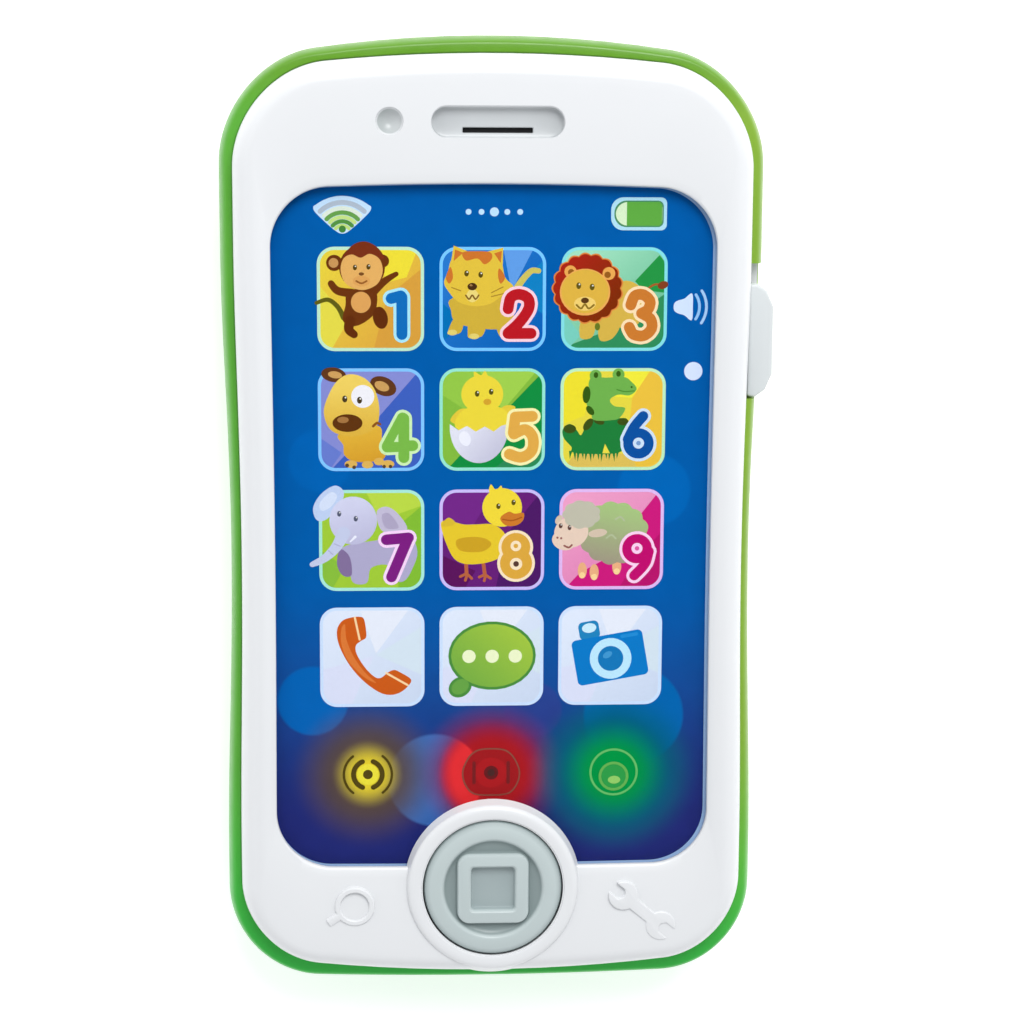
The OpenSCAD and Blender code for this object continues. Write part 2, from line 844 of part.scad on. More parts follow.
module battery_door() {
    z0 = 0.1;
    color("yellowgreen")
        difference() {
            union() {
                rounded_plate([-door_half_w, door_half_w], door_y, door_r, z0, door_t);
                // stiffening frame inside the bay
                difference() {
                    bar([-bay_half_w + 0.3, bay_half_w - 0.3],
                        [bay_y - bay_half_l + 0.3, bay_y + bay_half_l - 0.3], [z0 + 1, z0 + 2.7]);
                    bar([-bay_half_w + 1.5, bay_half_w - 1.5],
                        [bay_y - bay_half_l + 1.5, bay_y + bay_half_l - 1.5], [z0, z0 + 4]);
                }
                post([0, door_screw_y], 4.1, z0, 5.5);
            }
            post([0, door_screw_y], 2.8, -1, 3.4);
            post([0, door_screw_y], 1.35, 3, 6);
            // grip grooves
            for (k = [0:3])
                bar([-6 + k, 6 - k], [door_y[0] + 4 + 2 * k, door_y[0] + 4.9 + 2 * k], [-1, z0 + 0.5]);
        }
}

module door_screw() {
    color("silver")
        screw_up([0, door_screw_y], 3.4, head_r = 2.5, head_h = 1.5, shank_r = 1.2, shank_l = 6.2);
}

module door_screw_insert() {
    color("goldenrod")
        difference() {
            post([0, door_screw_y], insert_r, insert_z[0], insert_z[1]);
            post([0, door_screw_y], 1.25, insert_z[0] - 1, insert_z[1] + 1);
        }
}

module housing_screws() {
    color("silver")
        for (xy = housing_screw_xy)
            screw_up(xy, screw_seat_z, head_r = 2.5, head_h = 1.6, shank_r = 1.2, shank_l = 11.5);
}

rear_shell();
front_bezel();
screen_window();
screen_film();
touch_board();
touch_board_screws();
main_board();
main_board_screws();
led_shroud();
led_yellow();
led_red();
led_green();
controller_blob();
capacitor();
crystal();
resistors();
flex_connectors();
flex_cable();
home_button();
home_button_dome();
switch_knob();
slide_switch_case();
slide_switch_actuator();
speaker_frame();
speaker_magnet();
speaker_cone();
speaker_gasket();
speaker_clamp();
speaker_clamp_screws();
speaker_wires();
earpiece_cloth();
battery_1();
battery_2();
battery_3();
battery_contacts();
battery_springs();
battery_wires();
battery_door();
door_screw();
door_screw_insert();
housing_screws();
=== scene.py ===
import math

import bpy
from mathutils import Matrix, Vector, geometry
from mathutils.bvhtree import BVHTree
from mathutils.interpolate import poly_3d_calc


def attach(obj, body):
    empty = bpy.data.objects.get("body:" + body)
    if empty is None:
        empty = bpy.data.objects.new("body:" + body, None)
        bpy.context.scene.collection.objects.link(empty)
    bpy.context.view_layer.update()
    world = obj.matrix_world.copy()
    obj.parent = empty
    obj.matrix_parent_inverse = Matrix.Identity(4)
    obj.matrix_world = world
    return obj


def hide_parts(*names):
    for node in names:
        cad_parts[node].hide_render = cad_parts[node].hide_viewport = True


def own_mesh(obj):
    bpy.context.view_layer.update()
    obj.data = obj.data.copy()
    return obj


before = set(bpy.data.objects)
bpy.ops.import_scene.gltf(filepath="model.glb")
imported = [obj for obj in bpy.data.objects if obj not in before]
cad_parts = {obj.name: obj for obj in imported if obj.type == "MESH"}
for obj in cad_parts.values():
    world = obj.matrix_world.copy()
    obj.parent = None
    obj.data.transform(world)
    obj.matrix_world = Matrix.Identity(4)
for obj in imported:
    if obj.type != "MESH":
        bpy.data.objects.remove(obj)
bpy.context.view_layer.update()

# A toy cell phone that lies on its back: X across, Y towards its top end, Z out of its face.
# Shapes are worked out in millimetres, and become metres when their mesh is made.

MM = 0.001
scene = bpy.context.scene

# ---- design values, in millimetres ----

# An outline is half width, waist, top, bottom, top crown, bottom crown, top and bottom corner radius
RIM = (42.8, 1.1, 76.4, 76.4, 4.8, 1.2, 15.0, 14.8)
BEZEL = (40.4, 0.66, 73.6, 73.6, 3.2, 3.2, 14.4, 12.4)
SCREEN = (34.6, 0.25, 53.8, 55.4, 0.9, 0.3, 9.0, 9.0)
WAIST_Y, WAIST_L, CROWN_L = -4.0, 52.0, 40.0
CORNER_STEPS, END_STEPS, SIDE_STEPS = 26, 10, 26

GIRTH_Z, SEAM_Z, BACK_ROUND, BACK_T = 13.0, 19.0, 11.0, 2.4
RIM_ROUND, RIM_BAND, SIDE_T, ROOT_Z = 1.4, 1.5, 2.0, 1.4
CREST_Z, LIP_Z, SKIRT_Z, BEZEL_ROOT = 25.0, 24.0, 13.5, 23.4
SHOULDER, SKIRT_T, MARK_TOP = 3.3, 1.8, 25.2
WINDOW_TOP, FILM_BOTTOM, FILM_TOP, ART_Z = 23.2, 21.8, 21.9, 21.96
BUTTON_Y, COLLAR_R = -58.5, 11.45
ART_X = -0.2
PITCH = 19.0
TILE_Y = (35.9, 17.0, -2.2, -21.1)
LED_X, LED_Y = 19.8, -40.4
KNOB_Y, KNOB_L, KNOB_X = 20.1, 17.9, 44.5
NOTCH_Y = (19.8, 41.3)
LEDGE_TOP, KNOB_TOP = 13.7, 18.5
BOARD_TOP = 17.8
EAR_X, EAR_Y, EAR_HALF, EAR_R = 0.4, 63.1, 7.85, 2.35
DIMPLE, DIMPLE_R = (-16.2, 63.2), 2.3
DOOR_Y, DOOR_HALF, DOOR_R, DOOR_SCREW_Y = -1, (20.5, 34.5), 5, 27.5
SPEAKER_Y, CLAMP_X, TAPPED_R = 49, 17.6, 0.95
HOUSING_SCREWS = ((-26, 58.5), (26, 58.5), (-26.5, -61), (26.5, -61))
BOARD_POSTS = ((-26, 14), (26, 14), (-26, -33), (26, -33))
TOUCH_POSTS = ((-17, 58.5), (17, 58.5), (-20, -59), (20, -59))
CLAMP_POSTS = ((-CLAMP_X, SPEAKER_Y), (CLAMP_X, SPEAKER_Y))


# ---- outlines, rings and meshes ----

def sweep(x, y, r, start, stop, steps):
    """Points along an arc that goes from start to stop degrees."""
    turns = [math.radians(start + (stop - start) * i / steps) for i in range(steps + 1)]
    return [(x + r * math.cos(a), y + r * math.sin(a)) for a in turns]


def quarter(steps):
    """Pairs of cosine and sine over a quarter turn."""
    return sweep(0, 0, 1, 0, 90, steps)


def waist_in(o, y):
    u = (y - WAIST_Y) / WAIST_L
    return o[1] * (1 - u * u) ** 2 if abs(u) < 1 else 0.0


def shaped(o, x, y):
    crown = o[4] if y > 0 else -o[5]
    side = math.copysign(waist_in(o, y), x) if x else 0.0
    return (x - side, y - crown * (x / o[0]) ** 2 * min(1.0, abs(y) / CROWN_L))


def outline(o, d=0.0):
    """Outline o, moved inwards by d, counter-clockwise."""
    w, t, b = o[0] - d, o[2] - d, o[3] - d
    rt, rb = max(o[6] - d, 1.0), max(o[7] - d, 1.0)
    centres = ((w - rt, t - rt, rt), (rt - w, t - rt, rt), (rb - w, rb - b, rb), (w - rb, rb - b, rb))
    corners = [sweep(*spot, 90 * k, 90 * k + 90, CORNER_STEPS) for k, spot in enumerate(centres)]
    ring = []
    for k, steps in enumerate((END_STEPS, SIDE_STEPS, END_STEPS, SIDE_STEPS)):
        ring += corners[k]
        p, q = corners[k][-1], corners[(k + 1) % 4][0]
        ring += [(p[0] + (q[0] - p[0]) * i / (steps + 1), p[1] + (q[1] - p[1]) * i / (steps + 1))
                 for i in range(1, steps + 1)]
    return [shaped(o, x, y) for x, y in ring]


def at_z(ring, z):
    return [(x, y, z) for x, y in ring]


def between(a, b, t):
    return [(p[0] + (q[0] - p[0]) * t, p[1] + (q[1] - p[1]) * t) for p, q in zip(a, b)]


def rounded_rect(cx, cy, hx, hy, r, steps=8):
    points = []
    for k, (sx, sy) in enumerate(((1, 1), (-1, 1), (-1, -1), (1, -1))):
        points += sweep(cx + sx * (hx - r), cy + sy * (hy - r), r, 90 * k, 90 * k + 90, steps)
    return points


def stadium(cx, cy, half, r, steps=10):
    """A slot's outline: two half circles, with their centres half away from the middle."""
    return (sweep(cx + half, cy, r, -90, 90, steps) + sweep(cx - half, cy, r, 90, 270, steps))


def circle(cx, cy, r, steps):
    return sweep(cx, cy, r, 0, 360, steps)[:-1]


def loft(rings, joined=False):
    n, m = len(rings[0]), len(rings)
    faces = []
    for j in range(m if joined else m - 1):
        k = (j + 1) % m
        faces += [(j * n + i, j * n + (i + 1) % n, k * n + (i + 1) % n, k * n + i) for i in range(n)]
    if not joined:
        faces.append(tuple(reversed(range(n))))
        faces.append(tuple(range((m - 1) * n, m * n)))
    return [p for ring in rings for p in ring], faces


def revolve(profile, cx, cy, steps=96):
    """A closed profile of (radius, height), counter-clockwise with the radius to the right."""
    rings = [[(cx + r * c, cy + r * s, z) for r, z in profile] for c, s in circle(0, 0, 1, steps)]
    verts, faces = loft(rings, joined=True)
    return verts, [tuple(reversed(f)) for f in faces]


def lathe(profile, cx, cy):
    """A solid of (radius, height) from its lowest level to its highest, closed by flat caps."""
    return loft([at_z(circle(cx, cy, r, 48), z) for r, z in profile])


def prism(shape, levels):
    """shape(grow) gives an outline, and levels are (height, grow)."""
    return loft([at_z(shape(grow), z) for z, grow in levels])


def post(x, y, r, z0, z1):
    return lathe(((r, z0), (r, z1)), x, y)


def hole(x, y, r, depth):
    """A tool for a round hole in the back, with its edge broken."""
    chamfer, below = 0.3, 0.6
    return lathe(((r + below + chamfer, -below), (r, chamfer), (r, depth)), x, y)


def bar(x, y, z):
    ring = [(x[0], y[0]), (x[1], y[0]), (x[1], y[1]), (x[0], y[1])]
    return loft([at_z(ring, z[0]), at_z(ring, z[1])])


def make(name, shape, material=None, sharp=32):
    verts, faces = shape
    mesh = bpy.data.meshes.new(name)
    mesh.from_pydata([(x * MM, y * MM, z * MM) for x, y, z in verts], [], faces)
    mesh.update()
    ob = bpy.data.objects.new(name, mesh)
    scene.collection.objects.link(ob)
    if material:
        mesh.materials.append(material)
    soften(mesh, sharp)
    return ob


def soften(mesh, sharp=32):
    mesh.polygons.foreach_set("use_smooth", [True] * len(mesh.polygons))
    mesh.set_sharp_from_angle(angle=math.radians(sharp))


def settle(ob):
    """Applies ob's modifiers, with normals that keep flat faces flat."""
    even = ob.modifiers.new("even", "WEIGHTED_NORMAL")
    even.keep_sharp = True
    even.weight = 80
    depsgraph = bpy.context.evaluated_depsgraph_get()
    mesh = bpy.data.meshes.new_from_object(ob.evaluated_get(depsgraph))
    ob.modifiers.clear()
    old, ob.data = ob.data, mesh
    bpy.data.meshes.remove(old)
    mesh.name = ob.name
    soften(mesh)


class Surfaces:
    """The smooth normals of some meshes, to be found again after they are cut and joined."""

    REACH = 0.006 * MM
    LEAST_MATCH = 0.96
    INWARDS = 0.04

    def __init__(self):
        self.points, self.faces, self.normals, self.signs = [], [], [], []

    def add(self, mesh, sign):
        soften(mesh)
        first = len(self.points)
        self.points += [v.co.copy() for v in mesh.vertices]
        corners = [n.vector * sign for n in mesh.corner_normals]
        for face in mesh.polygons:
            self.faces.append([first + v for v in face.vertices])
            self.normals.append([corners[i] for i in face.loop_indices])
            self.signs.append(sign)

    def near(self, tree, point, normal):
        """The smooth normal of the surface that passes through point and faces the same way, or None."""
        best, share = None, self.LEAST_MATCH
        for spot, facing, index, _ in tree.find_nearest_range(point, self.REACH):
            match = facing.dot(normal) * self.signs[index]
            if match > share:
                best, share = (spot, index), match
        if best is None:
            return None
        spot, index = best
        weights = poly_3d_calc([self.points[v] for v in self.faces[index]], spot)
        mixed = sum((n * w for n, w in zip(self.normals[index], weights)), Vector())
        return mixed.normalized() if mixed.length > 0.1 else None

    def lend(self, mesh):
        tree = BVHTree.FromPolygons(self.points, self.faces)
        normals = [n.vector.copy() for n in mesh.corner_normals]
        for face in mesh.polygons:
            for i in face.loop_indices:
                corner = mesh.vertices[mesh.loops[i].vertex_index].co
                found = self.near(tree, corner.lerp(face.center, self.INWARDS), face.normal)
                if found:
                    normals[i] = found
        mesh.normals_split_custom_set(normals)


def combine(ob, joins, cuts):
    """Adds the joins to ob, then takes the cuts away from it. Each is a shape or an object."""
    surfaces = Surfaces()
    surfaces.add(ob.data, 1)
    tools = []
    for operation, sign, shapes in (("UNION", 1, joins), ("DIFFERENCE", -1, cuts)):
        for shape in shapes:
            tool = shape if isinstance(shape, bpy.types.Object) else make("tool", shape)
            tools.append(tool)
            surfaces.add(tool.data, sign)
            mod = ob.modifiers.new("cut", "BOOLEAN")
            mod.operation = operation
            mod.solver = "MANIFOLD"
            mod.object = tool
    settle(ob)
    surfaces.lend(ob.data)
    for tool in tools:
        bpy.data.objects.remove(tool)


def rounded_edges(ob, width):
    mod = ob.modifiers.new("round", "BEVEL")
    mod.width = width * MM
    mod.segments = 3
    mod.limit_method = "ANGLE"
    mod.angle_limit = math.radians(40)
    settle(ob)


def place(ob, body, slot, *nodes):
    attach(ob, body)
    if nodes:
        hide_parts(*nodes)


# ---- colours and node graphs ----

def srgb(r, g, b):
    """A colour of 0 to 255 as the linear numbers that a shader takes."""
    parts = [v / 255 for v in (r, g, b)]
    return tuple(v / 12.92 if v <= 0.04045 else ((v + 0.055) / 1.055) ** 2.4 for v in parts)


class Graph:
    """A material's node tree, built one call per node."""

    def __init__(self, name):
        self.mat = bpy.data.materials.new(name)
        self.mat.use_nodes = True
        self.tree = self.mat.node_tree
        self.bsdf = self.tree.nodes["Principled BSDF"]
        self.out = self.tree.nodes["Material Output"]
        self.place = self.node("ShaderNodeTexCoord").outputs["Object"]

    def node(self, kind, **settings):
        made = self.tree.nodes.new(kind)
        for key, value in settings.items():
            setattr(made, key, value)
        return made

    def feed(self, socket, value):
        if isinstance(value, bpy.types.NodeSocket):
            self.tree.links.new(value, socket)
        elif isinstance(value, (int, float)):
            socket.default_value = value
        else:
            socket.default_value = (*value, 1.0) if len(socket.default_value) == 4 else value

    def maths(self, operation, a, b=0.0, c=0.0):
        made = self.node("ShaderNodeMath", operation=operation)
        for socket, value in zip(made.inputs, (a, b, c)):
            self.feed(socket, value)
        return made.outputs[0]

    def axis(self, index):
        made = self.node("ShaderNodeSeparateXYZ")
        self.feed(made.inputs[0], self.place)
        return made.outputs[index]

    def noise(self, size, detail=2.0, rough=0.5):
        """Noise whose features are about size millimetres wide."""
        made = self.node("ShaderNodeTexNoise")
        self.feed(made.inputs["Vector"], self.place)
        made.inputs["Scale"].default_value = 1 / (size * MM)
        made.inputs["Detail"].default_value = detail
        made.inputs["Roughness"].default_value = rough
        return made.outputs["Fac"]

    def clouds(self, size, detail, low, high):
        """Noise in patches about size millimetres wide, as values from low to high."""
        return self.spread(self.noise(size, detail), 0.3, 0.7, low, high)

    def spread(self, value, low, high, to_low=0.0, to_high=1.0, smooth=False):
        made = self.node("ShaderNodeMapRange", interpolation_type="SMOOTHSTEP" if smooth else "LINEAR")
        for socket, number in zip(made.inputs, (value, low, high, to_low, to_high)):
            self.feed(socket, number)
        return made.outputs[0]

    def mix(self, share, a, b, how="MIX"):
        made = self.node("ShaderNodeMix", data_type="RGBA", blend_type=how)
        self.feed(made.inputs[0], share)
        self.feed(made.inputs[6], a)
        self.feed(made.inputs[7], b)
        return made.outputs[2]

    def distance(self, x, y):
        """Distance in millimetres from a line along Z through (x, y)."""
        dx = self.maths("SUBTRACT", self.axis(0), x * MM)
        dy = self.maths("SUBTRACT", self.axis(1), y * MM)
        square = self.maths("ADD", self.maths("MULTIPLY", dx, dx), self.maths("MULTIPLY", dy, dy))
        return self.maths("DIVIDE", self.maths("SQRT", square), MM)

    def bump(self, height, strength, depth):
        made = self.node("ShaderNodeBump")
        made.inputs["Strength"].default_value = strength
        made.inputs["Distance"].default_value = depth * MM
        self.feed(made.inputs["Height"], height)
        self.feed(self.bsdf.inputs["Normal"], made.outputs["Normal"])

    def plastic(self, colour, smooth, dull, grain, strength, depth):
        """A plastic's colour, its gloss between smooth and dull, and the grain of its surface."""
        self.set(colour=colour, rough=self.clouds(2.2, 3, smooth, dull))
        self.bump(self.noise(grain, 2), strength, depth)
        return self

    def set(self, **values):
        names = {"colour": "Base Color", "rough": "Roughness", "metal": "Metallic", "coat": "Coat Weight",
                 "specular": "Specular IOR Level", "glow": "Emission Color", "power": "Emission Strength"}
        for key, value in values.items():
            self.feed(self.bsdf.inputs[names[key]], value)
        return self


def shade(colour, factor):
    return tuple(v * factor for v in colour)


def moulded(name, colour, rough, vary=0.05):
    """Injection-moulded plastic: faint flow marks in its colour, and a fine grain in its gloss."""
    g = Graph(name)
    flow = g.spread(g.noise(9, 3), 0.35, 0.65)
    colour = g.mix(flow, shade(colour, 1 - vary), shade(colour, 1 + vary / 2))
    return g.plastic(colour, rough * 0.95, rough * 1.05, 0.4, 0.1, 0.004)


def metal(name, colour, rough):
    """Metal with a fine grain and small patches of tarnish."""
    g = Graph(name)
    patches = g.spread(g.noise(1.6, 4, 0.6), 0.35, 0.7)
    g.set(colour=g.mix(patches, colour, shade(colour, 0.76)), metal=1.0,
          rough=g.clouds(0.5, 4, rough * 0.7, rough * 1.3))
    g.bump(g.noise(0.5, 3), 0.3, 0.006)
    return g


# ---- rear shell and battery door ----

def rear_cup():
    """The cup: up its outside, over the rim, down the seat of the bezel, and down its inside."""
    rings = [at_z(outline(RIM, BACK_ROUND * (1 - s)), GIRTH_Z * (1 - c)) for c, s in quarter(16)]
    band = GIRTH_Z + RIM_BAND
    rings += [at_z(outline(RIM, RIM_ROUND * (1 - c)), band + (SEAM_Z - band) * s) for c, s in quarter(12)]
    rings += [at_z(outline(BEZEL, -0.3), SEAM_Z), at_z(outline(BEZEL, -0.1), SEAM_Z - 0.2),
              at_z(outline(BEZEL, -0.1), GIRTH_Z + 0.2)]
    rings += [at_z(outline(RIM, SIDE_T + 1 + (BACK_ROUND - 1) * (1 - s)),
                   BACK_T + (GIRTH_Z - 0.4 - BACK_T) * (1 - c)) for c, s in reversed(quarter(8))]
    return loft(rings)


def grille_slots():
    pitch, half_width, reach = 3.4, 0.85, 10
    slots = []
    for k in range(-2, 3):
        half = math.sqrt(reach ** 2 - (k * pitch) ** 2) - half_width
        slots.append(prism(lambda grow: stadium(0, SPEAKER_Y + k * pitch, half, half_width + grow),
                           ((-0.5, 0.75), (0.25, 0), (4, 0))))
    return slots


def door_shape(gap):
    return lambda grow: rounded_rect(0, DOOR_Y, DOOR_HALF[0] + gap + grow, DOOR_HALF[1] + gap + grow,
                                     DOOR_R + gap + grow)


def build_rear_shell(material):
    shell = make("rear_shell_skin", rear_cup(), material)
    bay_walls = bar((-18.2, 18.2), (-31.9, 21.9), (ROOT_Z, 15.4))
    bay_room = bar((-16.8, 16.8), (-30.5, 20.5), (-1, 14.2))
    housing_bosses = [post(*xy, 4.2, ROOT_Z, 14) for xy in HOUSING_SCREWS]
    board_bosses = [post(*xy, 2.6, ROOT_Z, 16.2) for xy in BOARD_POSTS]
    clamp_bosses = [post(*xy, 2.4, ROOT_Z, 9.7) for xy in CLAMP_POSTS]
    insert_boss = post(0, DOOR_SCREW_Y, 5.7, ROOT_Z, 11)
    speaker_ring = revolve(((14.2, ROOT_Z), (15.4, ROOT_Z), (15.4, 6.6), (14.2, 6.6)), 0, SPEAKER_Y)
    joins = [bay_walls, *housing_bosses, *board_bosses, insert_boss, speaker_ring, *clamp_bosses]
    door_seat = prism(door_shape(0.25), ((-0.5, 0.7), (0.2, 0), (1.7, 0)))
    insert_mouth, insert_hole = post(0, DOOR_SCREW_Y, 4.4, -1, 5.8), post(0, DOOR_SCREW_Y, 2.3, 5, 10)
    cuts = [bay_room, door_seat, insert_mouth, insert_hole]
    for xy in HOUSING_SCREWS:
        head, shank = hole(*xy, 2.9, 8), post(*xy, 1.5, 7, 15)
        cuts += [head, shank]
    cuts += [post(*xy, TAPPED_R, 8, 17) for xy in BOARD_POSTS]
    cuts += [post(*xy, TAPPED_R, 5, 11) for xy in CLAMP_POSTS]
    switch_notch = bar((36, 50), NOTCH_Y, (12.8, 20))
    combine(shell, joins, cuts + grille_slots() + [switch_notch])
    place(shell, "casing", "rear_plastic", "rear_shell")


def build_door(material):
    plate = prism(door_shape(0), ((0.1, -0.35), (0.2, -0.12), (0.42, 0), (1.6, 0)))
    door = make("battery_door_skin", plate, material)
    outer, inner = rounded_rect(0, -5, 16.5, 25.2, 0.4, 2), rounded_rect(0, -5, 15.3, 24, 0.4, 2)
    fence = loft([at_z(outer, 1.3), at_z(outer, 2.8), at_z(inner, 2.8), at_z(inner, 1.3)], joined=True)
    screw_boss = post(0, DOOR_SCREW_Y, 4.1, 0.5, 5.5)
    screw_head = lathe(((3.5, -0.2), (2.8, 0.5), (2.8, 3.4)), 0, DOOR_SCREW_Y)
    screw_shank = post(0, DOOR_SCREW_Y, 1.35, 3, 6)
    thumb_grooves = []
    for k in range(4):
        y, half = -31.05 + 2 * k, 5.55 - k
        thumb_grooves.append(prism(lambda grow: stadium(0, y, half, 0.45 + grow),
                                   ((-0.3, 0.5), (0.2, 0.12), (0.6, -0.15))))
    combine(door, [fence, screw_boss], [screw_head, screw_shank, *thumb_grooves])
    place(door, "battery_door", "rear_plastic", "battery_door")


# ---- bezel ----

def bezel_ring():
    """The frame: up its outside, over the shoulder, down to the screen's lip, and back under the face."""
    crest, opening = outline(BEZEL, SHOULDER), outline(SCREEN)
    rings = [at_z(outline(BEZEL), SKIRT_Z)]
    rings += [at_z(outline(BEZEL, SHOULDER * (1 - c)), CREST_Z - 4.4 * (1 - s)) for c, s in quarter(14)]
    slopes = [0.97 * k / 12 for k in range(1, 13)]
    rings += [at_z(between(crest, opening, t), CREST_Z - t * t) for t in slopes]
    lip = 0.4
    rings += [at_z(outline(SCREEN, -lip * (1 - s)), LIP_Z - lip * (1 - c)) for c, s in quarter(5)[1:]]
    rings += [at_z(opening, WINDOW_TOP), at_z(outline(SCREEN, -1.3), WINDOW_TOP),
              at_z(outline(BEZEL, SKIRT_T), WINDOW_TOP - 0.9), at_z(outline(BEZEL, SKIRT_T), SKIRT_Z)]
    return loft(rings, joined=True)


def knob_ledge():
    """The floor of the rim's notch, under the sliding knob, with an outer edge that follows the rim."""
    low, high, steps = NOTCH_Y[0] + 0.1, NOTCH_Y[1] - 0.1, 12
    levels = [low + (high - low) * i / steps for i in range(steps + 1)]
    edge = [(RIM[0] - 0.2 - waist_in(RIM, y), y) for y in levels]
    shape = [(38.6, low)] + edge + [(38.6, high)]
    return loft([at_z(shape, 12.9), at_z(shape, LEDGE_TOP)])


def collar_tube():
    """The rim around the button, with a rounded brow, and its flare down to the bezel."""
    profile = [(11.3, 20.6), (12.95, 20.6), (12.95, 22.2), (14.2, 23.2), (13.9, 24.3)]
    profile += [(12.55 + 1.2 * c, 24.9 + 0.8 * s) for c, s in quarter(8)]
    profile += [(11.75, 25.7), (11.55, 25.62), (11.45, 25.4), (11.3, 25.4)]
    return revolve(profile, 0, BUTTON_Y, 128)


def collar_foot():
    """The part of the flare at the phone's end, which spreads over the green rim."""
    inner, spread, steps = 12.2, 52, 24
    rings = []
    for z, r in ((19.1, 16.4), (20.2, 16.05), (22, 15.3), (23.6, 14.55), (24.6, 13.8), (25.2, 13.2)):
        ring = []
        for i in range(-steps, steps + 1):
            a = math.radians(-90 + spread * i / steps)
            reach = inner + (r - inner) * (1 - abs(i / steps) ** 3)
            ring.append((reach * math.cos(a), BUTTON_Y + reach * math.sin(a), z))
        rings.append(ring + [(3, BUTTON_Y - 11.8, z), (-3, BUTTON_Y - 11.8, z)])
    return loft(rings)


def ridge(path, half, closed=False):
    """A low raised line along points in the plane, with rounded shoulders."""
    n = len(path)
    cross = ((-1.0, 0.0), (-1.0, 0.72), (-0.82, 0.92), (-0.5, 1.0), (0.5, 1.0), (0.82, 0.92),
             (1.0, 0.72), (1.0, 0.0))
    rings = []
    for i, p in enumerate(path):
        a = path[(i - 1) % n] if closed or i else p
        b = path[(i + 1) % n] if closed or i < n - 1 else p
        d = Vector((b[0] - a[0], b[1] - a[1])).normalized()
        rings.append([(p[0] + d.y * half * u, p[1] - d.x * half * u,
                       BEZEL_ROOT + (MARK_TOP - BEZEL_ROOT) * v) for u, v in cross])
    return loft(rings, joined=closed)


def turned(points, cx, cy, degrees):
    c, s = math.cos(math.radians(degrees)), math.sin(math.radians(degrees))
    return [(cx + x * c - y * s, cy + x * s + y * c) for x, y in points]


def spanner_path():
    """Outline of a double-ended open spanner about the origin, lying along X."""
    handle, head_r, head_x, jaw = 1.0, 2.4, 4.0, 0.95
    start, end = math.degrees(math.asin(handle / head_r)), math.degrees(math.asin(jaw / head_r))
    low = sweep(head_x, 0, head_r, 180 + start, 360 - end, 12)
    mouth = [(head_x + 0.4, -jaw), (head_x - 0.15, -0.3), (head_x - 0.15, 0.3), (head_x + 0.4, jaw)]
    right = low + mouth + [(x, -y) for x, y in reversed(low)]
    return right + [(-x, -y) for x, y in right]


def spanner():
    shape = turned(spanner_path(), 24.2, -62.8, -40)
    mark = make("spanner", loft([at_z(shape, BEZEL_ROOT), at_z(shape, MARK_TOP)]))
    rounded_edges(mark, 0.22)
    return mark


def build_bezel(material):
    bezel = make("front_bezel_skin", bezel_ring(), material)
    lens = circle(-22.2, -61.5, 2.75, 40)
    grip = [(-24.5, -62.95), (-25.5, -63.6), (-26.4, -64.2)]
    magnifier = [ridge(lens, 0.5, closed=True), ridge(grip, 0.75)]
    housing_bosses = [post(*xy, 3, 14, 23.3) for xy in HOUSING_SCREWS]
    touch_bosses = [post(*xy, 1.9, 21.8, 23.3) for xy in TOUCH_POSTS]
    joins = [collar_tube(), collar_foot(), knob_ledge(), *housing_bosses, *touch_bosses]
    joins += [*magnifier, spanner()]
    ear_recess = prism(lambda grow: stadium(EAR_X, EAR_Y, EAR_HALF, EAR_R + grow, 16),
                       ((23.4, -0.5), (23.52, -0.2), (23.8, 0), (24.62, 0.02), (24.85, 0.14), (25.4, 0.7)))
    ear_slit = prism(lambda grow: rounded_rect(EAR_X, 61.9, 5.4 + grow, 0.4 + grow, 0.15 + grow / 2),
                     ((20, 0), (23.25, 0), (23.5, 0.2)))
    ball = [(DIMPLE_R * s, 25.6 + DIMPLE_R * c) for c, s in sweep(0, 0, 1, 180, 90, 12)[1:]]
    button_bore, flange_room = post(0, BUTTON_Y, COLLAR_R, 15, 25.3), post(0, BUTTON_Y, 13, 15, 20.6)
    pilot_holes = [post(*xy, 1.25, 10, 20.6) for xy in HOUSING_SCREWS]
    lever_slot = bar((36, 40.6), (25.6, 35.8), (LEDGE_TOP, 16.1))
    cuts = [button_bore, flange_room, *pilot_holes, ear_recess, ear_slit, lever_slot, lathe(ball, *DIMPLE)]
    combine(bezel, joins, cuts)
    place(bezel, "casing", "bezel_plastic", "front_bezel")


# ---- home button and side switch ----

def build_button(material):
    # (radius, height) from under the cap, out to the flange, up the side and in over the dish
    under = [(0.001, 24), (9.9, 24), (9.9, 19.5), (12.5, 19.5), (12.5, 20.4), (11.15, 20.4)]
    side = [(11.15, 24.7), (11.1, 25.1), (10.9, 25.42), (10.5, 25.6), (9.6, 25.82)]
    dish = [(8.5, 26.0), (8.25, 25.95), (8.05, 25.8), (7.8, 25.4), (7.4, 25.05), (6.9, 24.95),
            (0.001, 24.95)]
    button = make("home_button_skin", revolve(under + side + dish, 0, BUTTON_Y, 128), material)
    square = prism(lambda grow: rounded_rect(0, BUTTON_Y, 5.75 + grow, 5.8 + grow, 2.0 + grow, 10),
                   ((24.4, 0.3), (25.1, 0.2), (25.4, 0), (25.9, -0.06), (26.1, -0.2), (26.2, -0.5)))
    well = prism(lambda grow: rounded_rect(0, BUTTON_Y, 3.45 + grow, 3.5 + grow, 0.6 + grow / 3, 10),
                 ((24.7, -0.3), (24.78, -0.12), (25.0, 0), (25.9, 0.1), (26.1, 0.24), (26.3, 0.6)))
    stem = post(0, BUTTON_Y, 2.4, 20.45, 24.5)
    combine(button, [square, stem], [well])
    place(button, "home_button", "button_grey", "home_button")


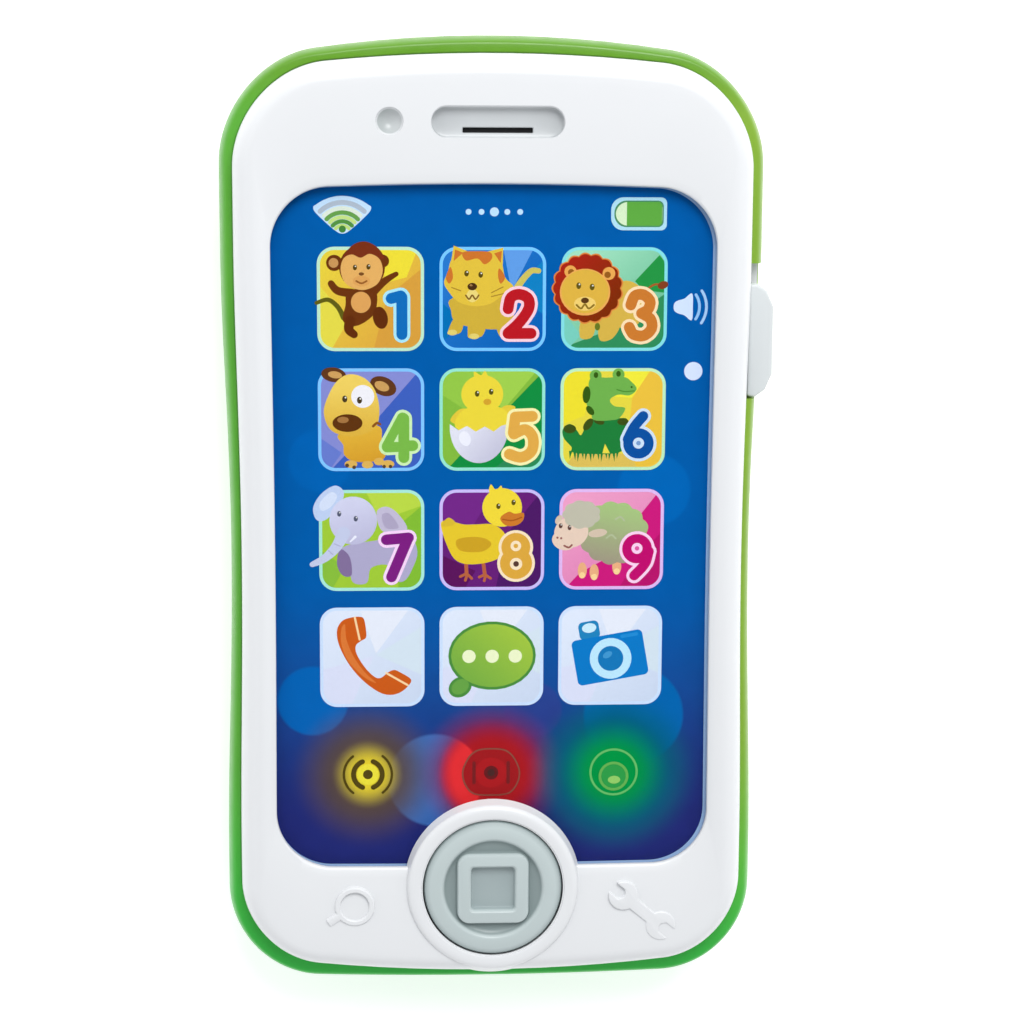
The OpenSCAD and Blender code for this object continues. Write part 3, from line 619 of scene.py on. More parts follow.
def build_dome(material):
    """The silicone dome under the button, with a flat top."""
    skirt = [(0.001, 1.3), (2.4, 1.3), (3.0, 1.1), (4.2, 0.02), (5.85, 0.02), (6.0, 0.12), (5.95, 0.4),
             (5.8, 0.5)]
    cone = [(4.75, 0.5), (4.5, 0.62), (3.45, 2.15), (3.3, 2.42), (3.05, 2.57), (2.8, 2.6), (0.001, 2.6)]
    profile = [(r, BOARD_TOP + z) for r, z in skirt + cone]
    dome = make("home_button_dome_skin", revolve(profile, 0, BUTTON_Y, 72), material)
    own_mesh(dome)
    place(dome, "casing", "silicone", "home_button_dome")


def build_knob(material):
    x_in, low, high = 40.6, KNOB_Y, KNOB_Y + KNOB_L
    body = [(x_in, low), (KNOB_X - 2.6, low), (KNOB_X - 1.1, low + 1.1), (KNOB_X, low + 3.6),
            (KNOB_X, high - 3.6), (KNOB_X - 1.1, high - 1.1), (KNOB_X - 2.6, high), (x_in, high)]
    knob = make("switch_knob_skin", loft([at_z(body, LEDGE_TOP + 0.1), at_z(body, KNOB_TOP)]), material)
    rounded_edges(knob, 0.45)
    lever, slot = bar((35.2, 41.1), (26.2, 32.2), (13.9, 15.8)), bar((33, 38.2), (28.25, 30.15), (10, 20))
    combine(knob, [lever], [slot])
    place(knob, "side_switch", "knob_plastic", "switch_knob")


def build_film(material):
    """The printed sheet under the window, with a round opening for the home button."""
    edge = outline(SCREEN, -0.9)
    film = make("screen_film_skin", loft([at_z(edge, FILM_BOTTOM), at_z(edge, FILM_TOP)]), material)
    opening = post(0, BUTTON_Y, 13.25, 20, 25)
    combine(film, [], [opening])
    place(film, "casing", "film_print", "screen_film")




# ---- printed artwork, and a painted reflection along the screen's edge ----
# A picture is a list of layers, lowest first. A layer is (ink, outlines) or (ink, outlines, inside), where
# inside is an outline that the layer is trimmed to. An ink is a colour, two colours with the points
# that they belong to, or None for a hole. Points are in millimetres from the picture's middle.

def disc(x, y, rx, ry=None, turn=0):
    return turned([(rx * c, (ry or rx) * s) for c, s in circle(0, 0, 1, 30)], x, y, turn)


def curve(points, closed, steps=5):
    """A smooth line through points."""
    n = len(points)
    path = []
    for i in range(n if closed else n - 1):
        ends = [points[j % n] if closed else points[min(max(j, 0), n - 1)] for j in range(i - 1, i + 3)]
        (ax, ay), (bx, by), (cx, cy), (dx, dy) = ends
        for s in range(steps):
            t = s / steps
            k = (-t + 2 * t * t - t ** 3, 2 - 5 * t * t + 3 * t ** 3,
                 t + 4 * t * t - 3 * t ** 3, t ** 3 - t * t)
            path.append((0.5 * (k[0] * ax + k[1] * bx + k[2] * cx + k[3] * dx),
                         0.5 * (k[0] * ay + k[1] * by + k[2] * cy + k[3] * dy)))
    return path if closed else path + [points[-1]]


def blob(*points):
    return curve(points, True)


def scallops(x, y, rx, ry, count, depth):
    """An oval with count round bulges along its edge."""
    points = []
    for i in range(count * 6):
        a = math.tau * i / (count * 6)
        reach = 1 + depth * abs(math.sin(count * a / 2))
        points.append((x + rx * reach * math.cos(a), y + ry * reach * math.sin(a)))
    return points


def stroke(points, half, end=None, smooth=True):
    """A line with round ends, as convex pieces that overlap."""
    path = curve(points, False, 6) if smooth and len(points) > 2 else list(points)
    pieces = []
    for i in range(len(path) - 1):
        cloud = []
        for k in (i, i + 1):
            r = half + ((end or half) - half) * k / (len(path) - 1)
            cloud += circle(path[k][0], path[k][1], r, 16)
        pieces.append([cloud[j] for j in geometry.convex_hull_2d(cloud)])
    return pieces


def arc(x, y, r, start, stop, half, steps=10):
    return stroke(sweep(x, y, r, start, stop, steps), half, smooth=False)


def ink_at(ink, x, y):
    if len(ink) == 3:
        return srgb(*ink)
    a, b, (x0, y0), (x1, y1) = ink
    t = ((x - x0) * (x1 - x0) + (y - y0) * (y1 - y0)) / ((x1 - x0) ** 2 + (y1 - y0) ** 2)
    t = min(max(t, 0), 1)
    return srgb(*[p + (q - p) * t for p, q in zip(a, b)])


def picture(name, layers, x=0, y=0):
    """A flat printed sheet: where outlines overlap, the topmost layer's ink shows."""
    points, outlines, owner, trims = [], [], [], {}

    def add(ring):
        area = sum(p[0] * q[1] - q[0] * p[1] for p, q in zip(ring, ring[1:] + ring[:1]))
        ring = ring if area > 0 else ring[::-1]
        outlines.append(list(range(len(points), len(points) + len(ring))))
        points.extend(ring)
        return len(outlines) - 1

    for index, layer in enumerate(layers):
        for ring in layer[1]:
            add(ring)
            owner.append(index)
        if len(layer) > 2:
            trims[index] = add(layer[2])
            owner.append(-1)
    spots = [Vector(p) for p in points]
    flat, _, faces, _, _, sources = geometry.delaunay_2d_cdt(spots, [], outlines, 1, 1e-5, True)
    shown, inks = [], []
    for face, inside in zip(faces, sources):
        inside = set(inside)
        over = [owner[i] for i in inside if owner[i] >= 0
                and (owner[i] not in trims or trims[owner[i]] in inside)]
        ink = layers[max(over)][0] if over else None
        if ink:
            shown.append(face)
            inks += [ink_at(ink, *flat[i]) for i in face]
    sheet = make(name, ([(x + p.x, y + p.y, ART_Z) for p in flat], shown), printed.mat, sharp=180)
    colours = sheet.data.color_attributes.new("ink", "FLOAT_COLOR", "CORNER")
    colours.data.foreach_set("color", [v for ink in inks for v in (*ink, 1)])
    place(sheet, "casing", "film_print")


def pad(border, base, facets, *layers):
    """A tile: its pale frame, its ground of plain facets, and the drawing on it."""
    edge, inner = rounded_rect(0, 0, 8.3, 8.1, 2.7), rounded_rect(0, 0, 7.8, 7.6, 2.2)
    return ([(border, [edge]), (base, [inner])] + [(ink, [list(ring)], inner) for ink, ring in facets]
            + list(layers))


def digit(lines, ink, halo, half=0.86, discs=(), holes=()):
    """A numeral with a pale rim. Holes are (x, y, radius, inner radius, inner ink)."""
    rim, fill = [], []
    for line in lines:
        rim += stroke(line, half + 0.45)
        fill += stroke(line, half)
    rim += [disc(x, y, r + 0.45) for x, y, r in discs]
    fill += [disc(x, y, r) for x, y, r in discs]
    layers = [(halo, rim), (ink, fill)]
    for x, y, r, r_in, ink_in in holes:
        layers += [(halo, [disc(x, y, r)]), (ink_in, [disc(x, y, r_in)])]
    return layers


def eyes(ink, r, *places):
    """Upright oval eyes, each with a light spot."""
    return [(ink, [disc(x, y, r, r * 1.35) for x, y in places]),
            ((240, 240, 230), [disc(x + r * 0.3, y + r * 0.55, r * 0.32) for x, y in places])]


def monkey():
    brown, tan = (108, 52, 14), (228, 174, 96)
    return pad((190, 232, 200), ((232, 208, 62), (222, 165, 62), (-7, 6), (6, -6)), [
        ((228, 216, 72), [(-8, 2.2), (-3.4, -3.2), (-6.2, -8), (-8, -8)]),
        ((238, 220, 56), [(0.4, 8), (7.4, 8), (5.6, 3.4), (2.6, 2.6)]),
        ((216, 158, 60), [(8, 4.8), (2.6, 0.4), (0.4, -8), (8, -8)])],
        ((96, 92, 22), stroke([(-4.2, -2.9), (-5.1, -1.2), (-6.6, -0.1), (-8.4, -0.6)], 0.42, 0.3)),
        (brown, stroke([(-2.9, 0.9), (-5.1, 1.3), (-6.1, 2.4)], 0.72, 0.52)),
        (brown, stroke([(0.4, 1.2), (2.2, 2.8), (4, 3.9)], 0.75, 0.36)),
        (brown, [blob((-3.4, 1.3), (0.6, 1.4), (0.9, -1.3), (-0.1, -3), (-2.4, -4.2), (-4.3, -3.4),
            (-3.9, -1)), disc(-5.6, 5.6, 1.25), disc(1.9, 5.9, 1), disc(-1.3, 4.9, 3.55, 3.5)]),
        ((98, 44, 10), stroke([(-3.2, -3.4), (-3.4, -4.7), (-2.6, -5.5)], 0.85, 0.6)),
        ((98, 44, 10), [disc(1.5, -2.9, 1.15, 1.75, 12)]),
        ((122, 48, 22), [blob((-4.1, 6.3), (-2.8, 8.3), (-0.8, 8.9), (1.2, 7.9), (2, 6.2), (-1, 6.2))]),
        ((200, 148, 84), [disc(-5.7, 5.6, 0.75)]),
        (tan, [blob((-4.6, 4.3), (-4.2, 6.2), (-2.9, 6.9), (-1.5, 6.4), (-0.1, 7), (1.4, 6.2), (1.9, 4.3),
            (1, 2.3), (-1.3, 1.4), (-3.7, 2.3))]),
        ((222, 162, 88), [disc(-1.5, -0.5, 1.55, 1.65), disc(-1.4, 2.8, 1.35, 0.85)]),
        ((150, 92, 40), stroke([(-2.2, 2.8), (-1.4, 2.45), (-0.6, 2.8)], 0.14)),
        ((120, 76, 36), [disc(-1.4, 3.9, 0.42, 0.26)]), *eyes((88, 66, 18), 0.32, (-2.4, 4.9), (-0.3, 5)),
        *digit([[(3.2, 0.1), (4.7, 0.5)], [(4.85, 0.3), (4.85, -5.5)]], (16, 108, 182), (168, 228, 240)))


def cat():
    fur, coat = (226, 192, 62), (208, 174, 58)
    return pad((120, 200, 255), ((40, 120, 200), (8, 96, 178), (-6, 6), (6, -6)), [
        ((96, 156, 224), [(1.6, 8), (6.4, 8), (2.9, 1.2)]),
        ((14, 128, 190), [(8, 6.2), (2.9, 1), (8, -2.4)]),
        ((0, 112, 178), [(-8, -0.5), (-4.4, -3.6), (-8, -6.8)])],
        ((206, 192, 92), stroke([(3.4, 1.2), (4.7, 3.1), (6, 4.4), (7.1, 4.4)], 0.55, 0.42)),
        (coat, [blob((-6.2, 0.2), (1.8, 1.6), (3.2, 0.4), (3, -3.8), (0.6, -4.7), (-3, -4.4), (-5.8, -3.6),
            (-6.5, -1.8))]),
        (coat, [blob((-6, -3), (-4.6, -3.2), (-5, -5.2), (-6.9, -5.5), (-6.9, -4.8)), blob((-3.6, -3.6),
            (-1.2, -3.6), (-1.6, -5.7), (-3.6, -6.1), (-3.9, -5.2)), blob((0.6, -3.8), (2.8, -3.6),
            (2.6, -5.6), (1.2, -5.9))]),
        ((226, 206, 110), [disc(-6.3, -5.2, 0.75, 0.45), disc(-2.9, -5.8, 0.8, 0.45)]),
        (fur, [[(-6.1, 8.3), (-3.6, 7.3), (-6.7, 4.6)], [(1.6, 8), (-1.2, 7.3), (1.5, 4.2)],
            blob((-6.4, 6.2), (-4.6, 7.3), (-0.6, 7.3), (1.2, 6.2), (1.9, 3.4), (3.2, 1.9), (1.5, 0.6),
            (-0.4, -0.7), (-2.8, -1.1), (-5.4, -0.4), (-6.9, 1.2), (-7.6, 2.6), (-7, 4.2))]),
        ((206, 116, 44), [blob((-4.7, 7.25), (-2.5, 7.45), (-0.4, 7.25), (-0.2, 6.2), (-1.3, 5.4),
            (-2.4, 6.3), (-4.2, 6)), [(-5.9, 7.7), (-4.6, 7.2), (-6.1, 5.9)], [(1.4, 7.5), (0.2, 7.1),
            (1.2, 5.6)], blob((-7.3, 3.4), (-6.6, 5), (-6.2, 3.4), (-6.8, 2.4)), blob((1, 4.8), (1.9, 3.4),
            (1.2, 2.4), (0.8, 3.6))]),
        ((236, 214, 120), [blob((-4.2, 0.4), (-3.2, 1.7), (-2.1, 0.4), (-3.2, -0.5))]),
        ((128, 92, 30), stroke([(-4.2, 0.6), (-3.7, 0), (-3.2, 0.6), (-2.7, 0), (-2.2, 0.6)], 0.13)),
        ((74, 46, 20), [disc(-3.2, 1.95, 0.75, 0.58)]), ((158, 118, 70), [disc(-3.4, 2.15, 0.25, 0.16)]),
        ((170, 132, 44), stroke([(-0.2, 1), (1.6, 1.9)], 0.09) + stroke([(-0.2, 0.4), (1.8, 0.9)], 0.09)
            + stroke([(-6.4, 1.8), (-5, 1.3)], 0.09)),
        *eyes((92, 76, 20), 0.36, (-4.1, 4), (-1.9, 3.8)),
        *digit([[(2.4, -1.5), (2.8, 0.2), (4.1, 0.75), (5.5, 0.1), (5.6, -1.5), (4.2, -3.6), (2.4, -5.3)],
            [(2.4, -5.35), (6, -5.35)]], (188, 24, 34), (250, 208, 216)))


def lion():
    gold = (222, 178, 66)
    return pad((132, 222, 224), ((160, 222, 186), (112, 190, 150), (-4, 7), (4, -3)), [
        ((36, 148, 66), [(7, 6.9), (8, 5.6), (8, 1), (4.6, 1.4), (3.2, 2.8)]),
        ((48, 140, 88), [(-7, -7.2), (0.8, -4.2), (8, 0.9), (8, -8), (-5, -8)]),
        ((120, 204, 184), [(-8, -2), (-5.2, -5.6), (-7.2, -7.8), (-8, -7.8)])],
        ((168, 92, 40), stroke([(4.6, 1.2), (6.3, 2.3), (7.4, 2.1)], 0.16)),
        ((132, 62, 30), [disc(7.6, 2.2, 0.85, 0.6, 20)]),
        ((214, 178, 72), [blob((1.2, 2.8), (3.9, 2), (5.2, -0.8), (3.4, -4.2), (0.4, -4.4), (-3.4, -4),
            (-4.8, -3), (-2, 0)), blob((-5.1, -3.2), (-3, -3.6), (-3.4, -5.9), (-5.3, -6)),
            blob((-2.2, -3.6), (0.9, -3.8), (-0.2, -6.1), (-2.2, -6.4))]),
        ((102, 118, 34), [disc(-2.6, -4.3, 0.42, 0.6)]),
        ((222, 132, 60), [scallops(-4.2, 1.7, 5.25, 5.2, 17, 0.075)]),
        (((172, 36, 20), (126, 44, 4), (-8, 5), (-1, -2)), [scallops(-4.2, 1.7, 5.05, 5, 17, 0.07)]),
        ((234, 168, 80), [disc(-6.9, 4.3, 0.95), disc(-0.9, 4, 1)]),
        ((150, 92, 30), [disc(-6.8, 4.2, 0.5), disc(-1.1, 3.8, 0.5)]),
        ((236, 170, 84), [disc(-4.6, 1.1, 3.95, 3.65)]), (gold, [disc(-4.6, 1.2, 3.7, 3.4)]),
        ((240, 206, 110), [disc(-4.6, -0.7, 1.7, 1.1)]), ((92, 58, 22), [disc(-4.6, -0.2, 0.62, 0.45)]),
        ((140, 112, 34), stroke([(-5.9, -0.9), (-5.2, -1.45), (-4.6, -0.8), (-4, -1.45),
            (-3.2, -0.9)], 0.15)),
        *eyes((98, 84, 24), 0.38, (-5.6, 2.1), (-3.5, 1.9)),
        *digit([[(2.6, -0.9), (3.2, 0.5), (4.5, 0.7), (5.6, -0.3), (5.3, -1.6), (4.3, -2.2)], [(4.3, -2.2),
            (5.7, -3.1), (5.9, -4.6), (4.7, -5.7), (3.1, -5.5), (2.4, -4.4)]], (204, 122, 46),
            (250, 222, 176)))


def dog():
    brown = (98, 56, 28)
    return pad((130, 198, 250), (134, 140, 206), [
        ((62, 96, 186), [(-6.4, -8), (-3.2, -4.6), (7.4, 7.6), (8, 7.6), (8, -8)]),
        ((104, 124, 202), [(-8, -2.8), (-4.6, -5.2), (-6.6, -8), (-8, -8)])],
        (((230, 186, 62), (214, 156, 42), (-2, 0), (-1, -7)), [blob((-5, -2.2), (1, -0.9), (1.7, -3.4),
            (2.2, -5.8), (0.4, -6.6), (-2.6, -6.6), (-4.2, -5.6), (-4.4, -4))]),
        ((222, 178, 86), [disc(-3.2, -7, 1, 0.62), disc(-0.6, -7.1, 0.9, 0.6), disc(2.6, -7, 1, 0.62),
            disc(1.2, -6.6, 0.8, 0.6)]),
        ((86, 66, 46), [disc(-3.8, -7.2, 0.3), disc(-2.7, -7.5, 0.3), disc(2, -7.4, 0.28),
            disc(3, -7.4, 0.28)]),
        (brown, [disc(-5.8, 7.1, 1.95, 1.15, -8), disc(1.9, 5.3, 2.15, 1.45, -24)]),
        ((206, 158, 90), [disc(-5.6, 7.1, 1.1, 0.55, -8), disc(1.7, 5.3, 1.2, 0.72, -24)]),
        (((240, 208, 96), (222, 178, 64), (-3, 5), (-3, -2)), [blob((-3.2, 7.2), (-0.9, 6.5), (0.7, 4.5),
            (1.3, 1.3), (0.5, -1.4), (-2.9, -2.6), (-6.2, -1.7), (-7.4, 1.2), (-6.5, 4.2), (-5.1, 6.3))]),
        ((240, 238, 240), [disc(-1.3, 3.7, 1.8)]),
        ((140, 82, 26), stroke([(0.3, -1), (0.9, -0.5), (1.4, -0.7)], 0.2)),
        ((96, 52, 14), [disc(-3.7, -0.5, 2.35, 1.4)]), ((166, 116, 62), [disc(-4.4, 0, 0.9, 0.5)]),
        *eyes((72, 58, 34), 0.4, (-4.1, 3.3), (-1.8, 3.1)),
        *digit([[(4.9, 0.3), (2.5, -4.2)], [(2.5, -4.3), (6.5, -4.1)], [(5.1, 0.2), (5.1, -6)]],
            (122, 184, 72), (206, 238, 176)),
        ((206, 238, 176), [[(4.25, -2.2), (4.25, -3.5), (3.55, -3.5)]]))


def chick():
    down = (236, 214, 60)
    return pad((150, 228, 206), (132, 186, 62), [
        ((160, 206, 76), [(-2.2, 8), (7.2, 8), (1.6, 1.4)]),
        ((148, 198, 70), [(-8, 4), (-4, 1.4), (-2.2, 8), (-8, 8)]),
        ((16, 140, 62), [(7.6, 7.2), (8, 7.2), (8, -8), (-7.2, -8), (-5, -5.6), (3.2, 2.6)]),
        ((44, 136, 84), [(8, -1.8), (8, -8), (0, -8)])],
        ((228, 200, 60), [blob((-6.6, -0.2), (-5.2, 1.6), (-3.6, 1.4), (-4.2, -0.9)), blob((3.6, 2),
            (1.6, 2), (0.9, -0.6), (2.6, 0))]),
        (down, [blob((-4.6, 1.5), (-1.4, 2.1), (1.9, 1.6), (2.6, -1.2), (-1.6, -2.8), (-5.8, -1.2)),
            disc(-1.6, 4, 3.3, 3.05), blob((-2.6, 6.4), (-2.9, 7.6), (-1.8, 7), (-1.2, 7.7), (-0.8, 6.6))]),
        ((212, 162, 46), [disc(-0.8, 2.8, 0.62, 0.5)]), *eyes((84, 78, 22), 0.36, (-2.4, 4.1), (-0.2, 4.4)),
        (((226, 226, 236), (192, 190, 210), (-4, -1), (2, -6)), [[(-6.7, -0.7), (-5.3, -1.7), (-4, -1),
            (-2.6, -1.9), (-1.2, -1.1), (0.2, -1.9), (1.4, -1),
            (2.5, -0.7)] + [(-2.1 + 4.6 * c, -1.2 + 5.7 * s) for c, s in sweep(0, 0, 1, -5, -173, 21)]]),
        ((238, 238, 246), [disc(-4.3, -3, 0.9, 1.2, 20)]),
        *digit([[(3.6, 0.4), (6.3, 0.5)], [(3.6, 0.3), (3.3, -2.1)], [(3.4, -2.3), (5.2, -1.6), (6.4, -2.9),
            (6.2, -5), (4.6, -6), (2.7, -5.5)]], (226, 170, 72), (248, 240, 172)))


def crocodile():
    light, dark, spot = (112, 176, 76), (30, 126, 56), (52, 90, 18)
    tufts = []
    for k in range(13):
        x = -6.9 + 0.62 * k
        tufts.append([(x, -5), (x + 0.55, -5), (x + 0.15 + 0.25 * (k % 2), -6.3 - 0.25 * (k % 3))])
    return pad((190, 236, 190), (230, 214, 66), [
        ((238, 222, 48), [(-8, 8), (-3.4, 8), (-4.4, 0.6), (-8, -0.8)]),
        ((242, 232, 60), [(1.6, 8), (6, 8), (3.2, 3.4), (0.2, 3.6)]),
        ((236, 192, 62), [(6, 8), (8, 8), (8, -8), (2, -8), (3, 3.4)]),
        ((222, 190, 86), [(-8, -8), (-5.4, -4.8), (3, -5.6), (4, -8)])],
        (dark, [blob((-7.9, -1.6), (-6.8, -0.7), (-5.7, -1.7), (-5, -2.5), (-4.2, -0.9), (-2.9, 0.2),
            (0.9, 0.2), (2.4, -0.2), (2.4, -3.4), (1, -5.3), (-3.7, -5.5), (-6.4, -5.2), (-6.5, -4.4),
            (-7.7, -3))] + tufts),
        ((238, 220, 70), [[(-1.2, -3.9), (-0.4, -5.4), (-1.6, -5.4)]]),
        ((62, 80, 22), [disc(-6.8, -1.5, 1, 0.7), disc(-3.9, -0.8, 0.6, 1.1, -35),
            disc(-2.2, -0.3, 0.9, 0.5, -20), disc(1.6, -0.4, 0.9, 0.55)]),
        (light, [blob((-3.9, 5.6), (-3.3, 6.7), (-1.2, 6.6), (1.6, 6.7), (2.8, 6), (3.7, 4.8), (2.6, 3.8),
            (0.8, 3.9), (-0.5, 3.1), (0.2, 2.1), (1.9, 1.8), (1.3, 0.5), (0.2, -0.1), (-3, -0.1),
            (-3.4, 1.4), (-4.2, 2.4), (-3.7, 3.8)), disc(-2.8, 6.9, 0.95), disc(0.8, 7.1, 0.95)]),
        (spot, [disc(-4.2, 3.9, 0.62, 1.35, -4), disc(-3.6, 1.4, 0.5, 0.85, 38), disc(-2.75, 7, 0.36, 0.46),
            disc(0.8, 7.2, 0.36, 0.46), disc(2.9, 5.1, 0.16)]),
        ((78, 140, 52), stroke([(3.3, 4.5), (1.8, 4.4), (0.6, 4.7)], 0.1)),
        *digit([[(4.8, 0.5), (3.4, -1.2), (2.4, -3.2)]], (10, 80, 156),
            (206, 224, 240), 0.8, [(4.1, -3.85, 2.42)], [(4.1, -3.8, 0.88, 0.36, (120, 156, 200))]))


def elephant():
    hide, shade_ink = (176, 170, 200), (132, 112, 152)
    return pad((170, 232, 214), (162, 202, 56), [
        ((188, 216, 70), [(-1, 8), (7.4, 8), (8, 5.6), (1.4, 3.2)]),
        ((132, 188, 52), [(8, 5.6), (8, -8), (4.2, -8), (4, 2.2)]),
        ((138, 190, 60), [(-8, -1.6), (-4.2, -4.2), (-6.4, -8), (-8, -8)])],
        (hide, [blob((-4.8, -1.2), (1.8, 0.2), (5.6, 1.2), (7.2, -1.8), (6.2, -5), (5, -6.6), (3.6, -6.3),
            (2.6, -4), (-0.1, -4.4), (-0.8, -6.8), (-2.9, -6.8), (-3.6, -4.8))]),
        (shade_ink, [blob((-5, -1.4), (-3.5, -2.6), (-3.2, -5.5), (-4.6, -5.6), (-5.5, -3.8))]),
        ((196, 188, 210), [blob((0.8, 4.6), (2.4, 5.4), (4.2, 4.2), (5.6, 1.8), (3.2, 1.2), (1.4, 1.8))]),
        ((176, 166, 192), [blob((1.6, 4), (2.6, 4.4), (3.6, 3.4), (4.2, 2), (2.2, 2))]),
        ((192, 208, 236), [blob((-5.8, 8.8), (-4.4, 7.9), (-4.8, 6), (-7, 3.5), (-8.6, 3.3), (-9.2, 5.2),
            (-8, 7.4))]),
        ((214, 224, 242), [blob((-6.2, 7.8), (-5.4, 7), (-6.4, 5.4), (-7.8, 4.8), (-8.2, 5.8), (-7.4, 7))]),
        (((212, 212, 234), (192, 190, 216), (-4, 6), (-2, 0)), [disc(-2.9, 3.2, 3.75, 3.85)]),
        ((198, 204, 228), stroke([(-4.4, 1.2), (-5.6, -1), (-7.4, -2.8), (-9.4, -3.8)], 1.05, 0.42)),
        ((178, 178, 208), stroke([(-5, -0.9), (-5.9, -0.5)], 0.1) + stroke([(-6.2, -2.2),
            (-6.8, -1.6)], 0.1)),
        ((236, 236, 246), stroke([(-2.6, 0.6), (-3.4, -0.2)], 0.22, 0.1)),
        *eyes((86, 90, 110), 0.33, (-5.1, 4.3), (-2.5, 3.5)),
        *digit([[(2.3, 0.1), (5.8, 0.4)], [(5.7, 0.3), (3.1, -5.9)]], (126, 30, 126), (250, 214, 244)))


def duck():
    return pad((204, 190, 244), (104, 32, 118), [
        ((116, 40, 134), [(-8, 8), (0.4, 8), (-4, 0.6), (-8, 1.6)]),
        ((78, 26, 100), [(8, 8), (8, -8), (0.6, -8), (2.4, 1)]),
        ((92, 20, 90), [(-8, -2.4), (-2.6, -5), (-4.4, -8), (-8, -8)])],
        ((186, 98, 62), stroke([(-4.1, -3.4), (-4, -5.4)], 0.3) + stroke([(-1.4, -3.4), (-1.1, -5.6)], 0.3)
            + stroke([(-5, -5.9), (-4, -5.4), (-3.2, -6.2), (-3.9, -5.5), (-4.2, -6.5)], 0.22, smooth=False)
            + stroke([(-2, -6), (-1.1, -5.6), (-0.2, -6.2), (-1, -5.7), (-1.2, -6.6)], 0.22, smooth=False)),
        ((232, 200, 46), [blob((-8.1, 2.7), (-6.6, 3), (-4.4, 2.5), (-2.6, 2.5), (0.4, 2.4), (2.4, 0.2),
            (1.3, -2.8), (-2.4, -3.9), (-5.5, -3.4), (-7.1, -0.9))]),
        ((220, 186, 52), [blob((-8, 2.4), (-6.9, 3.6), (-5.8, 2.8), (-6.8, 2.2))]),
        ((206, 162, 36), [blob((-5.6, 0), (-3.2, 0.5), (-1, 0.2), (-0.1, -0.8), (-1.7, -1.9), (-5, -1.7))]),
        ((242, 216, 58), [disc(1.6, 5.2, 3.15, 3.1), blob((-0.4, 7.6), (-0.2, 8.9), (0.6, 8), (1.4, 8.7),
            (1.5, 7.8))]),
        ((206, 122, 42), [blob((1.3, 3.5), (2.6, 4.5), (3.6, 4.2), (5, 4.3), (4.9, 3.1), (3.8, 2.3),
            (2.2, 2.3))]),
        ((170, 88, 28), stroke([(1.7, 3.3), (3.2, 3.1), (4.7, 3.6)], 0.1)),
        *eyes((96, 84, 24), 0.34, (1, 5.4), (3.4, 6)),
        *digit([], (222, 168, 62), (250, 228, 190), 0.86, [(3.8, -1.2, 2.3), (3.85, -3.8, 2.55)],
            [(3.8, -1, 0.85, 0.36, (222, 168, 62)), (3.85, -3.9, 0.98, 0.45, (90, 60, 50))]))


def sheep():
    skin = (232, 206, 184)
    return pad((224, 186, 238), ((240, 160, 196), (226, 130, 180), (-6, 6), (2, -6)), [
        ((206, 26, 122), [(7.4, 7.6), (8, 7.6), (8, -8), (-7.4, -8), (-5, -5.4), (5.6, 0.4), (4.6, 4)]),
        ((186, 20, 106), [(8, 1.2), (8, -8), (1.2, -8), (4.4, -2.8)])],
        ((236, 176, 128), [disc(-4.6, -5, 0.72, 1.3), disc(-2.7, -5.3, 0.72, 1.3),
            disc(0.9, -4.4, 0.72, 1.3)]),
        ((250, 214, 150), [disc(-4.6, -5.8, 0.5, 0.5), disc(-2.7, -6.1, 0.5, 0.5),
            disc(0.9, -5.2, 0.5, 0.5)]),
        (((168, 198, 126), (160, 150, 128), (1, 5), (-1, -4)), [scallops(0.3, 1, 5.25, 4.75, 13, 0.08)]),
        ((180, 190, 150), stroke([(0.6, 3.2), (1.4, 3.6), (2, 3)], 0.14) + stroke([(-0.8, 0.2), (0, 0.7),
            (0.7, 0.1)], 0.14) + stroke([(2.4, 0.6), (3.2, 1), (3.7, 0.4)], 0.14)),
        ((214, 194, 170), [disc(-2.2, 1, 1.5, 0.65, 8), disc(-8.4, 3.2, 0.8, 0.5, 60)]),
        (skin, [disc(-6.4, 1.2, 2.75, 2.5, 20), disc(-7.6, -0.2, 1.9, 1.5, -20)]),
        ((194, 190, 168), [scallops(-4.8, 4, 2.8, 2.1, 9, 0.1)]),
        ((150, 92, 84), stroke([(-7.5, -1), (-6.8, -1.3), (-6.3, -0.9)], 0.15) + [disc(-8.6, 0.3, 0.18),
            disc(-8, 0.2, 0.18)]),
        *eyes((96, 66, 60), 0.3, (-8.1, 2.2), (-6.7, 1.9)),
        *digit([[(6, -2), (5.4, -4), (3.7, -5.9)]], (194, 12, 108),
            (252, 210, 236), 0.8, [(4.1, -1.55, 2.38)], [(4.1, -1.5, 0.88, 0.36, (222, 90, 160))]))


def plain_pad(*layers):
    base = ((226, 234, 246), (206, 218, 236), (-6, 7), (6, -7))
    return pad((206, 226, 250), base, [
        ((232, 236, 244), [(-2, 8), (6, 8), (0.6, 0.6)]), ((214, 228, 236), [(8, 5), (8, -3), (0.6, 0.4)]),
        ((220, 224, 242), [(-8, -2), (0.2, 0.2), (-3.4, -8), (-8, -8)])],
        *layers)


